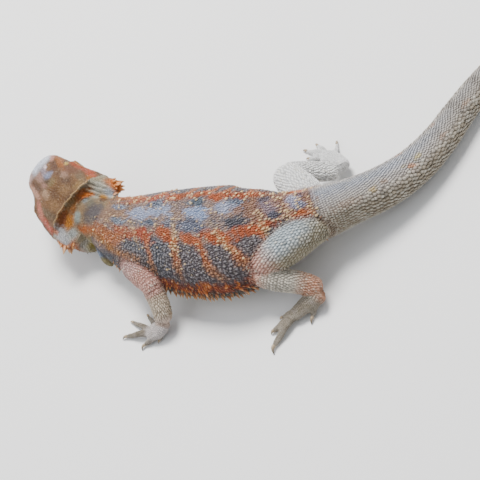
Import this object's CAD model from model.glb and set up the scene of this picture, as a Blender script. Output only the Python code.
"""Life-size bearded dragon at rest: one skin with its scales, spines, lids, eyes and claws.

Lengths are in millimetres until a mesh is made. The floor is z = 0, the head points
towards -X, the tail leaves towards +X, and the animal's left side faces -Y. Shapes are
sweeps: rounded sections carried along a smooth line. Markings are worked out from the
length along the body and the angle round it, and skin and scales share them.
"""

import logging
import math
from collections.abc import Callable, Sequence
from dataclasses import dataclass, field
from enum import Enum

import bmesh
import bpy
import numpy as np
from mathutils import Matrix


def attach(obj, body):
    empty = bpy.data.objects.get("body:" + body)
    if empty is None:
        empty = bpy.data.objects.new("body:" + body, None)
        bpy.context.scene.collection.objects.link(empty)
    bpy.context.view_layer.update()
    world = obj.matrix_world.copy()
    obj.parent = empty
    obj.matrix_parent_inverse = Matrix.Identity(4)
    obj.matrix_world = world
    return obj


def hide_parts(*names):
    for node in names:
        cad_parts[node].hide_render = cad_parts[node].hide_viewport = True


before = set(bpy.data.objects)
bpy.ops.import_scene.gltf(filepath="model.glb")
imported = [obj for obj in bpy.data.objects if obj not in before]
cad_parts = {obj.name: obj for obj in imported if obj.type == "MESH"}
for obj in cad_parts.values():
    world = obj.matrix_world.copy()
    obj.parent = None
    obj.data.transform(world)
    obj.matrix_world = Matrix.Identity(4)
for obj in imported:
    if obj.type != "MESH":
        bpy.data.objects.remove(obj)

Array = np.ndarray
LOG = logging.getLogger("bearded_dragon")
# Metres in a millimetre.
MM = 0.001
# Millimetres from the drawing's origin to the part's frame.
SHIFT = np.array((-58.6, -69.0, 0.0))
# Depth of the coat over the trunk's skin.
COAT = 0.55
# Height of the lowest skin above the floor.
FLOOR = 0.05
# Size of the cells that fuse the parts into one skin.
VOXEL = 0.95
# Angle round the body's sections at which the middle of the back lies.
BACK_ANGLE = 87.0
# Points handled at a time when the nearest place on a line is looked for.
CHUNK = 12000
# Skin under the scales is darker than the scales by this factor.
SKIN_SHADE = 0.66
# Points round a ring when its length is measured.
RING_SAMPLES = 48
# Distance between rows of scales, as a share of the spacing in a row.
ROW_STEP = 0.86
# Lowest height at which a scale may stand.
LOWEST_ROOT = 0.12
# Distances along the body between which the fringe's spines stand.
FRINGE_SPAN = (46.0, 172.0)
# Spacing of the large scales that stand between the others on the trunk.
BEAD_SPACING = 2.3
# Cells within which a bead of the folds needs to be alone.
FREE_CELL = 1.1
# Size of one scale on the flat layout of the coat.
CHART_SIZE = 0.0013
# Primes of the lattice noise's integer hash.
PRIMES = (73856093, 19349663, 83492791, 2654435761)
SEED = 23


def unit(vectors: Array) -> Array:
    """Vectors scaled to length one."""
    return vectors / np.maximum(np.linalg.norm(vectors, axis=-1, keepdims=True), 1e-9)


def smoothstep(low: float, high: float, values: Array) -> Array:
    """A smooth rise from 0 at low to 1 at high: 3t^2 - 2t^3 of the clipped share."""
    share = np.clip((values - low) / (high - low), 0.0, 1.0)
    return share * share * (3.0 - 2.0 * share)


def bump(values: Array, middle: float, width: float) -> Array:
    """A bell round a middle value: e to the minus square of the scaled distance."""
    return np.exp(-(((values - middle) / width) ** 2))


def smooth(keys: Array, rows: Array, at: Array) -> Array:
    """Values on a smooth curve through keyed rows.

    Cubic Hermite pieces whose slope at a row is the average of its neighbours' slopes.

    Args:
        keys: Rising keys, one for each row.
        rows: Values at the keys.
        at: Where to read the curve.

    Returns:
        One row of values for each place in at.
    """
    keys = np.asarray(keys, float)
    rows = np.asarray(rows, float)
    at = np.clip(np.atleast_1d(np.asarray(at, float)), keys[0], keys[-1])
    step = np.diff(keys)
    slope = np.diff(rows, axis=0) / step[:, None]
    lean = np.empty_like(rows)
    lean[0], lean[-1] = slope[0], slope[-1]
    share = step[:-1, None] / (step[:-1, None] + step[1:, None])
    lean[1:-1] = slope[:-1] * (1 - share) + slope[1:] * share
    i = np.clip(np.searchsorted(keys, at, side="right") - 1, 0, len(keys) - 2)
    h = step[i][:, None]
    t = ((at - keys[i]) / step[i])[:, None]
    return (
        (2 * t**3 - 3 * t**2 + 1) * rows[i]
        + (t**3 - 2 * t**2 + t) * h * lean[i]
        + (3 * t**2 - 2 * t**3) * rows[i + 1]
        + (t**3 - t**2) * h * lean[i + 1]
    )


def lattice_noise(points: Array, size: float, seed: int = 0) -> Array:
    """Smooth random values from 0 to 1 that change over a given size.

    Corners of a cubic lattice get random values by an integer hash, and each point
    blends its eight corners with smoothed weights.
    """
    scaled = points / size + 1000.0
    cell = np.floor(scaled).astype(np.int64)
    part = scaled - cell
    part = part * part * (3 - 2 * part)
    total = np.zeros(len(points))
    for dx in (0, 1):
        for dy in (0, 1):
            for dz in (0, 1):
                corner = (
                    (cell[:, 0] + dx) * PRIMES[0]
                    ^ (cell[:, 1] + dy) * PRIMES[1]
                    ^ (cell[:, 2] + dz) * PRIMES[2]
                    ^ (seed * PRIMES[3])
                )
                corner = (corner ^ (corner >> 13)) * 1274126177
                value = ((corner ^ (corner >> 16)) & 0xFFFF) / 65535.0
                weight = (
                    np.where(dx, part[:, 0], 1 - part[:, 0])
                    * np.where(dy, part[:, 1], 1 - part[:, 1])
                    * np.where(dz, part[:, 2], 1 - part[:, 2])
                )
                total += value * weight
    return total


def rough_noise(points: Array, size: float, seed: int = 0) -> Array:
    """Two octaves of lattice noise, the finer one at half the weight."""
    coarse = lattice_noise(points, size, seed)
    fine = lattice_noise(points, size * 0.45, seed + 7)
    return (coarse * 2 + fine) / 3


def tint(red: float, green: float, blue: float) -> Array:
    """A display colour from 0 to 255 as linear light."""
    shares = np.array((red, green, blue), float) / 255.0
    return np.where(shares <= 0.04045, shares / 12.92, ((shares + 0.055) / 1.055) ** 2.4)


def blend(colours: Array, other: Array, share: Array | float) -> Array:
    """Colours moved towards another colour by a share for all or for each row."""
    share = np.broadcast_to(np.clip(share, 0.0, 1.0), len(colours))
    return colours + (other - colours) * share[:, None]


def wash(colours: Array, *layers: tuple[tuple[float, ...], Array | float]) -> Array:
    """Colours with display colours laid over them in turn, each by its share."""
    for shown, share in layers:
        colours = blend(colours, tint(*shown), share)
    return colours


def ground(count: int, red: float, green: float, blue: float) -> Array:
    """One display colour for every point, as linear light."""
    return np.tile(tint(red, green, blue), (count, 1))


def rounded(values: Array, power: Array | float) -> Array:
    """Cosines or sines of a rounded section: power 2 is an ellipse, more is squarer."""
    return np.sign(values) * np.abs(values) ** (2 / power)


def mirrored(angle: Array, side: int) -> Array:
    """Angles round a section, moved from its left to its right where side is -1."""
    return angle if side > 0 else math.pi - angle


def full_turn(count: int) -> Array:
    """Angles spaced evenly round a whole turn."""
    return np.arange(count) * (2 * math.pi / count)


def perimeters(grid: Array) -> Array:
    """Length round each ring of points."""
    return np.linalg.norm(grid - np.roll(grid, 1, axis=1), axis=2).sum(1)


def even(size: float) -> Callable[[Array], Array]:
    """A spacing of scales that is the same everywhere."""
    return lambda at: size + 0.0 * at


class Slot(Enum):
    """The record's material slots."""

    TRUNK = "trunk_skin"
    HEAD = "head_skin"
    LIMB = "limb_skin"
    TAIL = "tail_skin"
    CLAWS = "claws"
    EYES = "eyes"


@dataclass(frozen=True)
class Sweep:
    """Rounded sections carried along a smooth line.

    Attributes:
        rows: X, Y, Z, half width, rise above the line and drop below it.
        power: Roundness of the sections; 2 is an ellipse, more is squarer.
        round_start: Whether the first end closes with a dome.
        round_end: Whether the last end closes with a dome.
    """

    rows: tuple[tuple[float, ...], ...]
    power: float = 2.1
    round_start: bool = True
    round_end: bool = True

    def table(self) -> Array:
        """Rows with a drop below the line, which copies the rise where none is given."""
        rows = np.array(self.rows, float)
        return rows if rows.shape[1] == 6 else np.hstack([rows, rows[:, 4:5]])

    def lengths(self) -> Array:
        """Distance along the line at each row."""
        rows = self.table()
        steps = np.linalg.norm(np.diff(rows[:, :3], axis=0), axis=1)
        return np.concatenate(([0.0], np.cumsum(steps)))

    def frames(self, along: Array) -> tuple[Array, Array, Array, Array]:
        """Rows, tangents, left and up directions at distances along the line."""
        at, table = self.lengths(), self.table()
        rows = smooth(at, table, along)
        ahead = smooth(at, table[:, :3], np.asarray(along) + 0.4)
        behind = smooth(at, table[:, :3], np.asarray(along) - 0.4)
        tangent = unit(ahead - behind)
        left = unit(np.cross(np.broadcast_to((0.0, 0.0, 1.0), tangent.shape), tangent))
        return rows, tangent, left, np.cross(tangent, left)

    def surface(
        self, along: Array, angles: Array, inset: float = 0.0, share: Array | float = 1.0
    ) -> Array:
        """Rings of surface points.

        A point is the line's point, plus left times half width times the rounded cosine,
        plus up times rise or drop times the rounded sine; nothing sinks below the floor.

        Args:
            along: Distances along the line.
            angles: Angles round the section, from the left, through the top.
            inset: How far inside the full shape the surface lies.
            share: Width share at each distance, below 1 in a domed end.

        Returns:
            An array of points, distances by angles by three.
        """
        rows, _, left, up = self.frames(along)
        angles = np.atleast_1d(angles)
        share = np.broadcast_to(np.asarray(share, float), (len(rows),))
        c, s = rounded(np.cos(angles), self.power), rounded(np.sin(angles), self.power)
        width = ((rows[:, 3] - inset) * share)[:, None]
        rise = ((rows[:, 4] - inset) * share)[:, None]
        drop = ((rows[:, 5] - inset) * share)[:, None]
        height = np.where(s[None] >= 0, rise, drop)
        points = (
            rows[:, None, :3]
            + (c[None] * width)[..., None] * left[:, None]
            + (s[None] * height)[..., None] * up[:, None]
        )
        floor = FLOOR + inset * 0.5
        below = np.maximum(floor - points[..., 2], 0.0)
        lift = np.maximum(np.abs(up[:, None, 2]), 0.3)
        return points + up[:, None] * (below / lift)[..., None]

    def shell(self, count: int, ring: int, inset: float) -> Array:
        """A whole surface as rings, with domed ends where the sweep has them."""
        rows = self.table()
        total = self.lengths()[-1]
        start = 0.85 * rows[0, 3:5].mean() if self.round_start else 0.0
        end = 0.85 * rows[-1, 3:5].mean() if self.round_end else 0.0
        turn = np.linspace(0.0, 1.45, 7)[1:]
        head = start * (1 - np.sin(turn[::-1])) if self.round_start else np.zeros(0)
        tail = total - end * (1 - np.sin(turn)) if self.round_end else np.zeros(0)
        along = np.concatenate([head, np.linspace(start, total - end, count), tail])
        share = np.concatenate(
            [
                np.cos(turn[::-1]) if self.round_start else np.zeros(0),
                np.ones(count),
                np.cos(turn) if self.round_end else np.zeros(0),
            ]
        )
        angles = full_turn(ring)
        return self.surface(np.clip(along, 0.0, total), angles, inset, share)

    def coordinates(self, points: Array) -> tuple[Array, Array, Array]:
        """Distance along, angle round and depth outside the surface for points.

        The nearest of evenly spaced line points is found, then moved along the tangent.
        """
        total = self.lengths()[-1]
        count = max(24, int(total))
        stations = np.linspace(0.0, total, count)
        rows, tangent, left, up = self.frames(stations)
        nearest = np.empty(len(points), int)
        line = rows[:, :3]
        for start in range(0, len(points), CHUNK):
            piece = points[start : start + CHUNK]
            far = (piece**2).sum(1)[:, None] - 2 * piece @ line.T + (line**2).sum(1)[None]
            nearest[start : start + CHUNK] = np.argmin(far, axis=1)
        offset = points - rows[nearest, :3]
        extra = (offset * tangent[nearest]).sum(1)
        along = stations[nearest] + extra
        beyond = np.maximum(along - total, 0.0) + np.maximum(-along, 0.0)
        across = (offset * left[nearest]).sum(1)
        rise = (offset * up[nearest]).sum(1)
        width = rows[nearest, 3]
        height = np.where(rise >= 0, rows[nearest, 4], rows[nearest, 5])
        ratio = np.hypot(across / width, rise / height)
        depth = (ratio - 1.0) * np.minimum(width, height) + beyond
        return np.clip(along, 0.0, total), np.arctan2(rise / height, across / width), depth


BODY = Sweep(
    (
        (-99.0, 24.0, 30.0, 11.0, 10.0, 12.0),
        (-86.0, 18.0, 28.0, 14.6, 12.5, 15.0),
        (-70.0, 10.6, 25.5, 19.8, 14.6, 18.5),
        (-52.0, 4.6, 23.0, 27.2, 19.4, 20.5),
        (-31.0, 0.0, 21.6, 31.6, 26.8, 21.3),
        (-7.0, -3.4, 21.0, 36.3, 27.6, 21.5),
        (17.0, -3.5, 21.0, 36.2, 26.5, 21.5),
        (36.0, 1.6, 21.5, 27.8, 23.4, 20.5),
        (50.0, 5.8, 22.0, 19.5, 20.6, 19.0),
        (62.0, 10.0, 22.8, 16.0, 18.4, 18.0),
        (74.0, 14.6, 23.0, 14.6, 16.2, 16.0),
        (85.0, 21.3, 20.8, 13.3, 14.4, 14.6),
        (99.0, 31.0, 17.2, 13.1, 13.0, 13.4),
        (111.5, 42.3, 14.2, 12.4, 12.0, 12.6),
        (122.5, 55.5, 12.2, 11.5, 11.0, 12.0),
        (132.5, 71.5, 10.8, 10.6, 10.1, 10.8),
        (142.5, 91.5, 9.9, 9.8, 9.3, 9.9),
        (154.5, 114.0, 8.8, 8.6, 8.2, 8.8),
        (169.0, 136.0, 7.6, 7.3, 7.0, 7.6),
        (187.0, 156.5, 6.3, 6.0, 5.8, 6.3),
        (208.0, 175.0, 5.0, 4.7, 4.5, 5.0),
        (231.0, 192.0, 3.6, 3.3, 3.2, 3.6),
        (254.0, 209.0, 1.3, 1.0, 0.9, 1.3),
    ),
    power=2.15,
    round_start=False,
    round_end=True,
)
TAIL_START = 176.0
BEARD = Sweep(
    (
        (-111.0, 37.5, 20.5, 9.0, 5.0),
        (-103.0, 28.0, 17.5, 17.5, 8.5),
        (-95.0, 18.5, 15.5, 19.8, 10.0),
        (-87.0, 12.4, 15.2, 16.8, 9.0),
        (-79.0, 9.7, 16.6, 11.6, 7.0),
    )
)
SHOULDER_FOLD = Sweep(
    (
        (-81.0, 3.0, 25.0, 3.0, 3.8),
        (-77.8, -5.4, 20.0, 3.2, 4.3),
        (-75.0, -10.6, 15.6, 2.6, 3.2),
        (-71.0, -12.6, 13.2, 1.9, 2.2),
    )
)


@dataclass(frozen=True)
class Digit:
    """One finger or toe.

    Attributes:
        number: Its number, counted from the inside.
        root: X, Y where it leaves the palm.
        tip: X, Y of its end.
        arch: Height of its knuckle.
        radius: Radius at its root.
        claw: Length of its claw.
        turn: How far its claw swings, in degrees.
    """

    number: int
    root: tuple[float, float]
    tip: tuple[float, float]
    arch: float
    radius: float
    claw: float
    turn: float

    def sweep(self, base: float) -> Sweep:
        """The digit's line: up to the knuckle, then down to its tip."""
        root, tip = np.array(self.root), np.array(self.tip)
        heights = (base, max(self.arch, self.radius), self.radius * 0.95, self.radius * 0.72)
        sizes = (1.0, 0.95, 0.82, 0.62)
        rows = []
        for share, height, size in zip((0.0, 0.35, 0.72, 1.0), heights, sizes):
            x, y = root + (tip - root) * share
            rows.append((x, y, height, self.radius * size, self.radius * size))
        return Sweep(tuple(rows), power=2.0, round_start=False)

    def claw_sweep(self, base: float) -> Sweep:
        """The claw's line: out of the digit's end, over a small hump and down."""
        rows = np.array(self.sweep(base).rows)
        end = rows[-1, :3]
        way = unit(end[:2] - rows[-2, :2])
        swing = math.radians(self.turn)
        c, s = math.cos(swing), math.sin(swing)
        turned = np.array((way[0] * c - way[1] * s, way[0] * s + way[1] * c))
        start = end[:2] - way * 0.9
        fall = max(end[2] - 0.35, 0.1)
        made = []
        for t, share in ((0.0, 1.0), (0.3, 0.84), (0.6, 0.58), (0.85, 0.3), (1.0, 0.1)):
            place = start + self.claw * (way * 0.5 * (2 * t - t * t) + turned * 0.5 * t * t)
            height = end[2] + 0.5 * math.sin(math.pi * t) - t**2.4 * fall
            size = rows[-1, 3] * 0.86 * share
            made.append((place[0], place[1], height, size, size))
        return Sweep(tuple(made), power=2.0, round_start=True, round_end=True)


@dataclass(frozen=True)
class Limb:
    """One leg or arm as three sweeps with its digits.

    Attributes:
        name: Its name, as in its nodes' names.
        upper: Rows of the thigh or upper arm.
        lower: Rows of the shank or forearm.
        end: Rows of the foot or palm.
        digits: Its digits.
        end_name: The word that its last node's name uses.
        paleness: How far its colour moves to the pale tone, from 0 to 1.
    """

    name: str
    upper: Sweep
    lower: Sweep
    end: Sweep
    digits: tuple[Digit, ...]
    end_name: str
    paleness: float = 0.0

    def base(self) -> float:
        """Height at which the digits leave the palm."""
        return float(self.end.rows[-1][2])

    def sweeps(self) -> list[Sweep]:
        """The three lengths, from the body outwards."""
        return [self.upper, self.lower, self.end]



def sweep_of(*rows: tuple[float, ...], round_start: bool = True) -> Sweep:
    """A sweep through the given rows."""
    return Sweep(rows, round_start=round_start)


LIMBS = (
    Limb(
        "left_arm",
        sweep_of(
            (-54.0, -9.2, 24.0, 8.4, 8.4),
            (-48.4, -22.2, 25.0, 8.6, 8.3),
            (-41.6, -29.4, 26.0, 7.8, 7.5),
            (-34.6, -36.4, 26.0, 6.7, 6.8),
            (-32.4, -40.2, 21.8, 6.3, 6.3),
            round_start=False,
        ),
        sweep_of(
            (-36.0, -34.8, 26.0, 6.4, 6.5),
            (-31.6, -41.5, 20.0, 6.5, 6.4),
            (-29.2, -47.9, 14.0, 6.2, 6.0),
            (-28.2, -54.0, 9.0, 5.4, 5.0),
        ),
        sweep_of(
            (-28.4, -51.5, 10.0, 5.2, 4.9),
            (-31.2, -55.4, 6.8, 5.2, 4.4),
            (-36.3, -56.8, 4.9, 6.0, 3.6),
            (-41.0, -56.4, 3.4, 5.2, 2.6),
        ),
        (
            Digit(1, (-36.5, -53.0), (-44.8, -43.6), 3.0, 1.8, 3.0, 0.0),
            Digit(2, (-40.5, -54.8), (-54.2, -48.0), 3.4, 2.0, 3.4, 16.0),
            Digit(3, (-41.0, -57.6), (-56.4, -58.2), 4.0, 2.2, 4.4, 50.0),
            Digit(4, (-35.7, -60.2), (-42.8, -64.6), 3.0, 2.1, 5.0, 68.0),
            Digit(5, (-31.0, -56.5), (-33.4, -61.8), 2.6, 1.7, 2.4, 0.0),
        ),
        "hand",
        0.0,
    ),
    Limb(
        "right_arm",
        sweep_of(
            (-56.0, 16.0, 22.0, 8.2, 8.2),
            (-50.0, 26.0, 19.0, 7.8, 8.0),
            (-39.0, 32.5, 14.5, 7.0, 7.2),
            (-29.0, 35.5, 11.0, 6.2, 6.4),
            (-33.0, 37.2, 9.0, 5.8, 5.9),
            round_start=False,
        ),
        sweep_of(
            (-29.0, 36.0, 10.0, 5.8, 5.8),
            (-37.0, 38.5, 8.0, 6.2, 6.0),
            (-46.0, 39.5, 6.6, 5.6, 5.4),
            (-53.0, 39.0, 5.6, 5.0, 4.6),
        ),
        sweep_of(
            (-51.0, 39.0, 5.6, 4.8, 4.4),
            (-56.0, 38.5, 4.8, 6.0, 4.0),
            (-62.0, 38.5, 4.0, 6.2, 3.2),
            (-66.0, 38.5, 3.2, 5.4, 2.6),
        ),
        (
            Digit(1, (-62.0, 35.0), (-67.5, 29.5), 2.8, 1.7, 3.0, 0.0),
            Digit(2, (-65.0, 36.5), (-75.0, 32.5), 3.0, 1.8, 3.2, 0.0),
            Digit(3, (-66.0, 38.5), (-78.5, 37.5), 3.2, 1.9, 3.4, 0.0),
            Digit(4, (-65.5, 40.5), (-77.0, 42.0), 3.2, 1.9, 3.4, 0.0),
            Digit(5, (-62.0, 42.0), (-69.5, 44.8), 2.8, 1.7, 3.0, 0.0),
        ),
        "hand",
        0.35,
    ),
    Limb(
        "left_leg",
        sweep_of(
            (69.6, 8.6, 22.8, 10.6, 10.2),
            (62.0, -1.6, 26.4, 11.3, 11.2),
            (50.8, -15.2, 29.6, 11.5, 11.5),
            (39.2, -24.2, 28.4, 9.7, 9.7),
            (32.0, -28.6, 25.4, 7.4, 7.8),
            round_start=False,
        ),
        sweep_of(
            (31.6, -29.6, 24.2, 6.8, 6.8),
            (44.1, -32.4, 21.2, 7.1, 7.0),
            (56.1, -31.6, 15.7, 7.0, 6.8),
            (70.0, -33.2, 9.2, 6.2, 5.8),
        ),
        sweep_of(
            (70.4, -33.8, 8.8, 6.0, 5.5),
            (63.9, -38.6, 6.8, 5.6, 5.0),
            (57.0, -43.6, 5.0, 5.0, 3.9),
            (51.2, -49.2, 3.6, 4.0, 2.9),
        ),
        (
            Digit(1, (57.5, -43.4), (49.8, -43.6), 4.2, 2.1, 2.6, 30.0),
            Digit(2, (53.5, -46.8), (44.4, -47.4), 4.6, 2.4, 2.6, 30.0),
            Digit(3, (51.6, -50.2), (40.2, -56.6), 4.8, 2.5, 3.0, 40.0),
            Digit(4, (51.6, -49.0), (42.2, -66.8), 4.2, 2.5, 6.8, 66.0),
            Digit(5, (65.8, -39.0), (63.4, -47.8), 3.8, 2.2, 5.2, 24.0),
        ),
        "foot",
        0.0,
    ),
    Limb(
        "right_leg",
        sweep_of(
            (66.0, 14.0, 24.0, 12.0, 12.0),
            (56.0, 25.0, 25.0, 11.8, 11.6),
            (44.4, 37.0, 24.2, 10.4, 10.0),
            (36.4, 45.6, 21.0, 7.8, 7.6),
            round_start=False,
        ),
        sweep_of(
            (36.0, 46.4, 20.0, 6.8, 6.8),
            (46.5, 48.8, 17.0, 6.8, 6.8),
            (58.5, 51.0, 12.7, 6.8, 6.4),
            (71.2, 52.8, 9.6, 6.3, 5.9),
        ),
        sweep_of(
            (72.8, 55.6, 8.8, 5.0, 4.9),
            (67.6, 62.2, 6.4, 5.2, 4.4),
            (61.0, 67.8, 4.6, 5.0, 3.4),
            (56.0, 71.5, 3.4, 4.4, 2.6),
        ),
        (
            Digit(1, (58.0, 66.0), (50.0, 64.0), 3.6, 1.8, 3.0, 0.0),
            Digit(2, (55.5, 69.0), (45.0, 70.6), 4.0, 1.9, 3.2, 0.0),
            Digit(3, (55.0, 71.5), (42.2, 77.0), 4.2, 2.0, 3.8, 0.0),
            Digit(4, (56.5, 73.0), (49.4, 80.6), 4.0, 2.1, 3.8, 0.0),
            Digit(5, (64.0, 68.0), (62.4, 81.2), 3.4, 1.9, 4.0, 0.0),
        ),
        "foot",
        1.0,
    ),
)


@dataclass(frozen=True)
class Head:
    """The skull's form in its own axes: forward, left and up, times a scale.

    Attributes:
        rows: Forward place, half width, crown height, chin depth and shift to the left.
        mouth: Forward place and height of points on the line of the mouth.
        place: The head's origin in the model's frame.
        turns: Turn to the side, lift of the snout and roll, in degrees.
        scale: Millimetres of the model for each unit of the head's own axes.
        eye: Forward place and height of the eyes.
        eye_radius: Radius of the eyeballs.
        eye_inset: How far their centres lie inside the surface.
        ear: Forward place and height of the ear cups.
        nostril: Forward place and height of the nostrils.
    """

    rows: tuple[tuple[float, ...], ...] = (
        (-19.0, 14.8, 3.0, 7.0, -1.3),
        (-15.5, 23.6, 4.5, 10.0, -1.4),
        (-11.5, 26.4, 7.5, 12.0, -1.6),
        (-7.5, 26.0, 12.2, 13.0, -1.3),
        (-5.5, 25.4, 15.0, 13.3, -0.9),
        (0.0, 24.5, 16.2, 13.2, -0.1),
        (8.0, 23.6, 16.4, 12.4, 0.8),
        (16.0, 20.6, 15.2, 11.2, 0.3),
        (24.0, 17.6, 12.2, 10.0, 0.0),
        (32.0, 15.0, 9.0, 8.8, -0.2),
        (38.0, 13.2, 6.6, 7.8, 0.0),
        (42.4, 10.2, 4.6, 6.2, 0.0),
        (45.2, 5.8, 2.4, 3.8, 0.0),
    )
    mouth: tuple[tuple[float, float], ...] = (
        (3.0, -2.6),
        (10.0, -4.2),
        (20.0, -3.6),
        (30.0, -2.6),
        (38.0, -2.0),
        (47.0, -1.6),
    )
    place: tuple[float, float, float] = (-98.5, 24.1, 30.0)
    turns: tuple[float, float, float] = (41.5, 6.5, 15.5)
    scale: float = 1.05
    eye: tuple[float, float] = (14.5, 6.4)
    eye_radius: float = 4.0
    eye_inset: float = 3.3
    ear: tuple[float, float] = (-6.5, 1.0)
    nostril: tuple[float, float] = (37.0, 3.0)

    def axes(self) -> Array:
        """Forward, left and up directions, one in each row."""
        yaw, pitch, roll = (math.radians(a) for a in self.turns)
        forward = np.array(
            (-math.cos(yaw) * math.cos(pitch), math.sin(yaw) * math.cos(pitch), math.sin(pitch))
        )
        left = np.array((-math.sin(yaw), -math.cos(yaw), 0.0))
        up = np.cross(forward, left)
        c, s = math.cos(roll), math.sin(roll)
        return np.array((forward, left * c - up * s, up * c + left * s))

    def outward(self, local: Array) -> Array:
        """Points of the head's own axes in the model's frame."""
        return local * self.scale @ self.axes() + np.array(self.place)

    def inward(self, points: Array) -> Array:
        """Points of the model's frame in the head's own axes."""
        return (points - np.array(self.place)) @ self.axes().T / self.scale

    def surface(self, forward: Array, angle: Array, inset: float = 0.0) -> Array:
        """Surface points in the head's own axes, for places along it and angles round it.

        The crown is a rounder-cornered arch and the chin a flatter one. Bells in place
        and angle raise the brow, the cheek and the top of the snout, and sink the temple.
        """
        forward = np.asarray(forward, float)
        angle = np.asarray(angle, float)
        table = np.array(self.rows)
        rows = smooth(table[:, 0], table[:, 1:], forward.ravel()).reshape(forward.shape + (4,))
        power = np.where(np.sin(angle) >= 0, 2.5, 2.3)
        c, s = rounded(np.cos(angle), power), rounded(np.sin(angle), power)
        y = c * (rows[..., 0] - inset)
        z = s * (np.where(s >= 0, rows[..., 1], rows[..., 2]) - inset)
        lift = np.degrees(np.arcsin(np.clip(s, -1, 1)))
        out = 1.5 * bump(forward, 15.0, 8.0) * bump(lift, 40.0, 11.0)
        out = out - 1.3 * bump(forward, 16.0, 7.0) * bump(lift, 17.0, 9.0)
        out = out + 0.9 * bump(forward, -1.0, 7.0) * bump(lift, 5.0, 22.0)
        out = out - 1.2 * bump(forward, 3.0, 6.0) * bump(lift, 30.0, 9.0)
        out = out + 0.9 * bump(forward, 34.0, 5.0) * bump(lift, 45.0, 14.0)
        norm = np.hypot(y, z) + 1e-6
        return np.stack([forward, y + y / norm * out + rows[..., 3], z + z / norm * out], -1)

    def shell(self, count: int, ring: int, inset: float) -> Array:
        """The whole head as rings, from nape to snout."""
        low, high = self.rows[0][0] + inset, self.rows[-1][0] - inset
        share = np.linspace(0.0, 1.0, count)
        forward = low + (high - low) * (1 - (1 - share) ** 1.35)
        angles = full_turn(ring)
        grid = self.surface(forward[:, None] * np.ones(ring), np.ones((count, 1)) * angles, inset)
        return self.outward(grid.reshape(-1, 3)).reshape(grid.shape)

    def side_point(self, forward: float, side: int, height: float) -> Array:
        """Surface point in the head's own axes at a height on one side."""
        angles = np.linspace(-1.5, 1.5, 181)
        points = self.surface(np.full(181, forward), angles)
        y = np.interp(height, points[:, 2], points[:, 1])
        return np.array((forward, side * y, height))

    def over_mouth(self, local: Array) -> Array:
        """Height over the line of the mouth for points in the head's own axes."""
        line = np.array(self.mouth)
        return local[:, 2] - smooth(line[:, 0], line[:, 1:2], local[:, 0])[:, 0]

    def from_nostril(self, local: Array) -> Array:
        """Distance from the nostril, as seen from the side."""
        return np.hypot(local[:, 0] - self.nostril[0], local[:, 2] - self.nostril[1])

    def from_ear(self, local: Array) -> Array:
        """Distance from the ear cup's middle, 1 at its oval rim."""
        return np.hypot((local[:, 0] - self.ear[0]) / 2.3, (local[:, 2] - self.ear[1]) / 3.2)

    def from_eye(self, local: Array, stretch: float) -> Array:
        """Distance from the eye's middle, divided along the head by a stretch."""
        return np.hypot((local[:, 0] - self.eye[0]) / stretch, local[:, 2] - self.eye[1])

    def depth(self, points: Array) -> Array:
        """Rough distance outside the head for points of the model's frame."""
        local = self.inward(points)
        table = np.array(self.rows)
        rows = smooth(table[:, 0], table[:, 1:], local[:, 0])
        y = np.abs(local[:, 1] - rows[:, 3]) / (rows[:, 0] + 0.3)
        z = np.abs(local[:, 2]) / np.where(local[:, 2] >= 0, rows[:, 1], rows[:, 2])
        ratio = (y**2.4 + z**2.4) ** (1 / 2.4)
        beyond = np.maximum(local[:, 0] - table[-1, 0], 0)
        beyond = beyond + np.maximum(table[0, 0] - local[:, 0], 0)
        return (ratio - 1.0) * np.minimum(rows[:, 0], rows[:, 1] + 4.0) + beyond

    def relief(self, local: Array) -> Array:
        """How far fine forms raise or sink the skin, for points in the head's own axes.

        Args:
            local: Points in the head's own axes.

        Returns:
            Millimetres along the normal: the mouth's groove and lips, nostrils, lids
            and their opening, ear cups, the crown's shield edge and the hollow behind it.
        """
        u, v, w = local.T
        side = np.abs(v)
        height = self.over_mouth(local)
        along = smoothstep(2.0, 6.0, u)
        out = -0.85 * np.exp(-((height / 0.5) ** 2)) * along
        out += 0.4 * np.exp(-(((height - 1.5) / 1.1) ** 2)) * along
        out += 0.35 * np.exp(-(((height + 1.6) / 1.2) ** 2)) * along
        corner = np.hypot(u - 2.2, height)
        out -= 0.5 * np.exp(-((corner / 1.3) ** 2))
        nose = self.from_nostril(local)
        rim, hole = np.exp(-(((nose - 1.5) / 0.6) ** 2)), np.exp(-((nose / 0.85) ** 2))
        out += (0.4 * rim - 1.2 * hole) * smoothstep(3.0, 6.0, side)
        dx, dz = u - self.eye[0], w - self.eye[1]
        open_high = 2.0 * np.clip(1 - (np.abs(dx) / 3.4) ** 2.0, 0.0, 1.0)
        pit = smoothstep(-0.25, 0.35, open_high - np.abs(dz)) * (np.abs(dx) < 3.5) * (side > 10)
        ring = np.hypot(dx / 1.35, dz)
        out += 0.45 * np.exp(-(((ring - 2.7) / 0.45) ** 2)) * (side > 10) * (1 - pit)
        out += 0.3 * np.exp(-(((ring - 4.0) / 0.4) ** 2)) * (side > 10)
        out -= 0.3 * np.exp(-(((ring - 3.35) / 0.3) ** 2)) * (side > 10)
        out -= 2.9 * pit
        ear = self.from_ear(local)
        out -= 1.9 * (1 - smoothstep(0.6, 1.1, ear)) * (side > 12)
        out += 0.35 * np.exp(-(((ear - 1.3) / 0.2) ** 2)) * (side > 12)
        edge = u - self.shield_edge(v)
        crown = smoothstep(4.0, 8.0, w) * smoothstep(19.8, 17.6, side)
        out += 0.12 * np.exp(-(((edge - 0.4) / 0.4) ** 2)) * crown
        behind = smoothstep(0.1, -0.9, edge) * np.exp(-(((edge + 2.4) / 3.0) ** 2))
        out -= 1.35 * behind * crown * (1 - 0.7 * np.exp(-(((v + 1.0) / 2.6) ** 2)))
        folds = bump(u, -10.0, 4.5) * bump(v, -17.0, 5.5)
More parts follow.
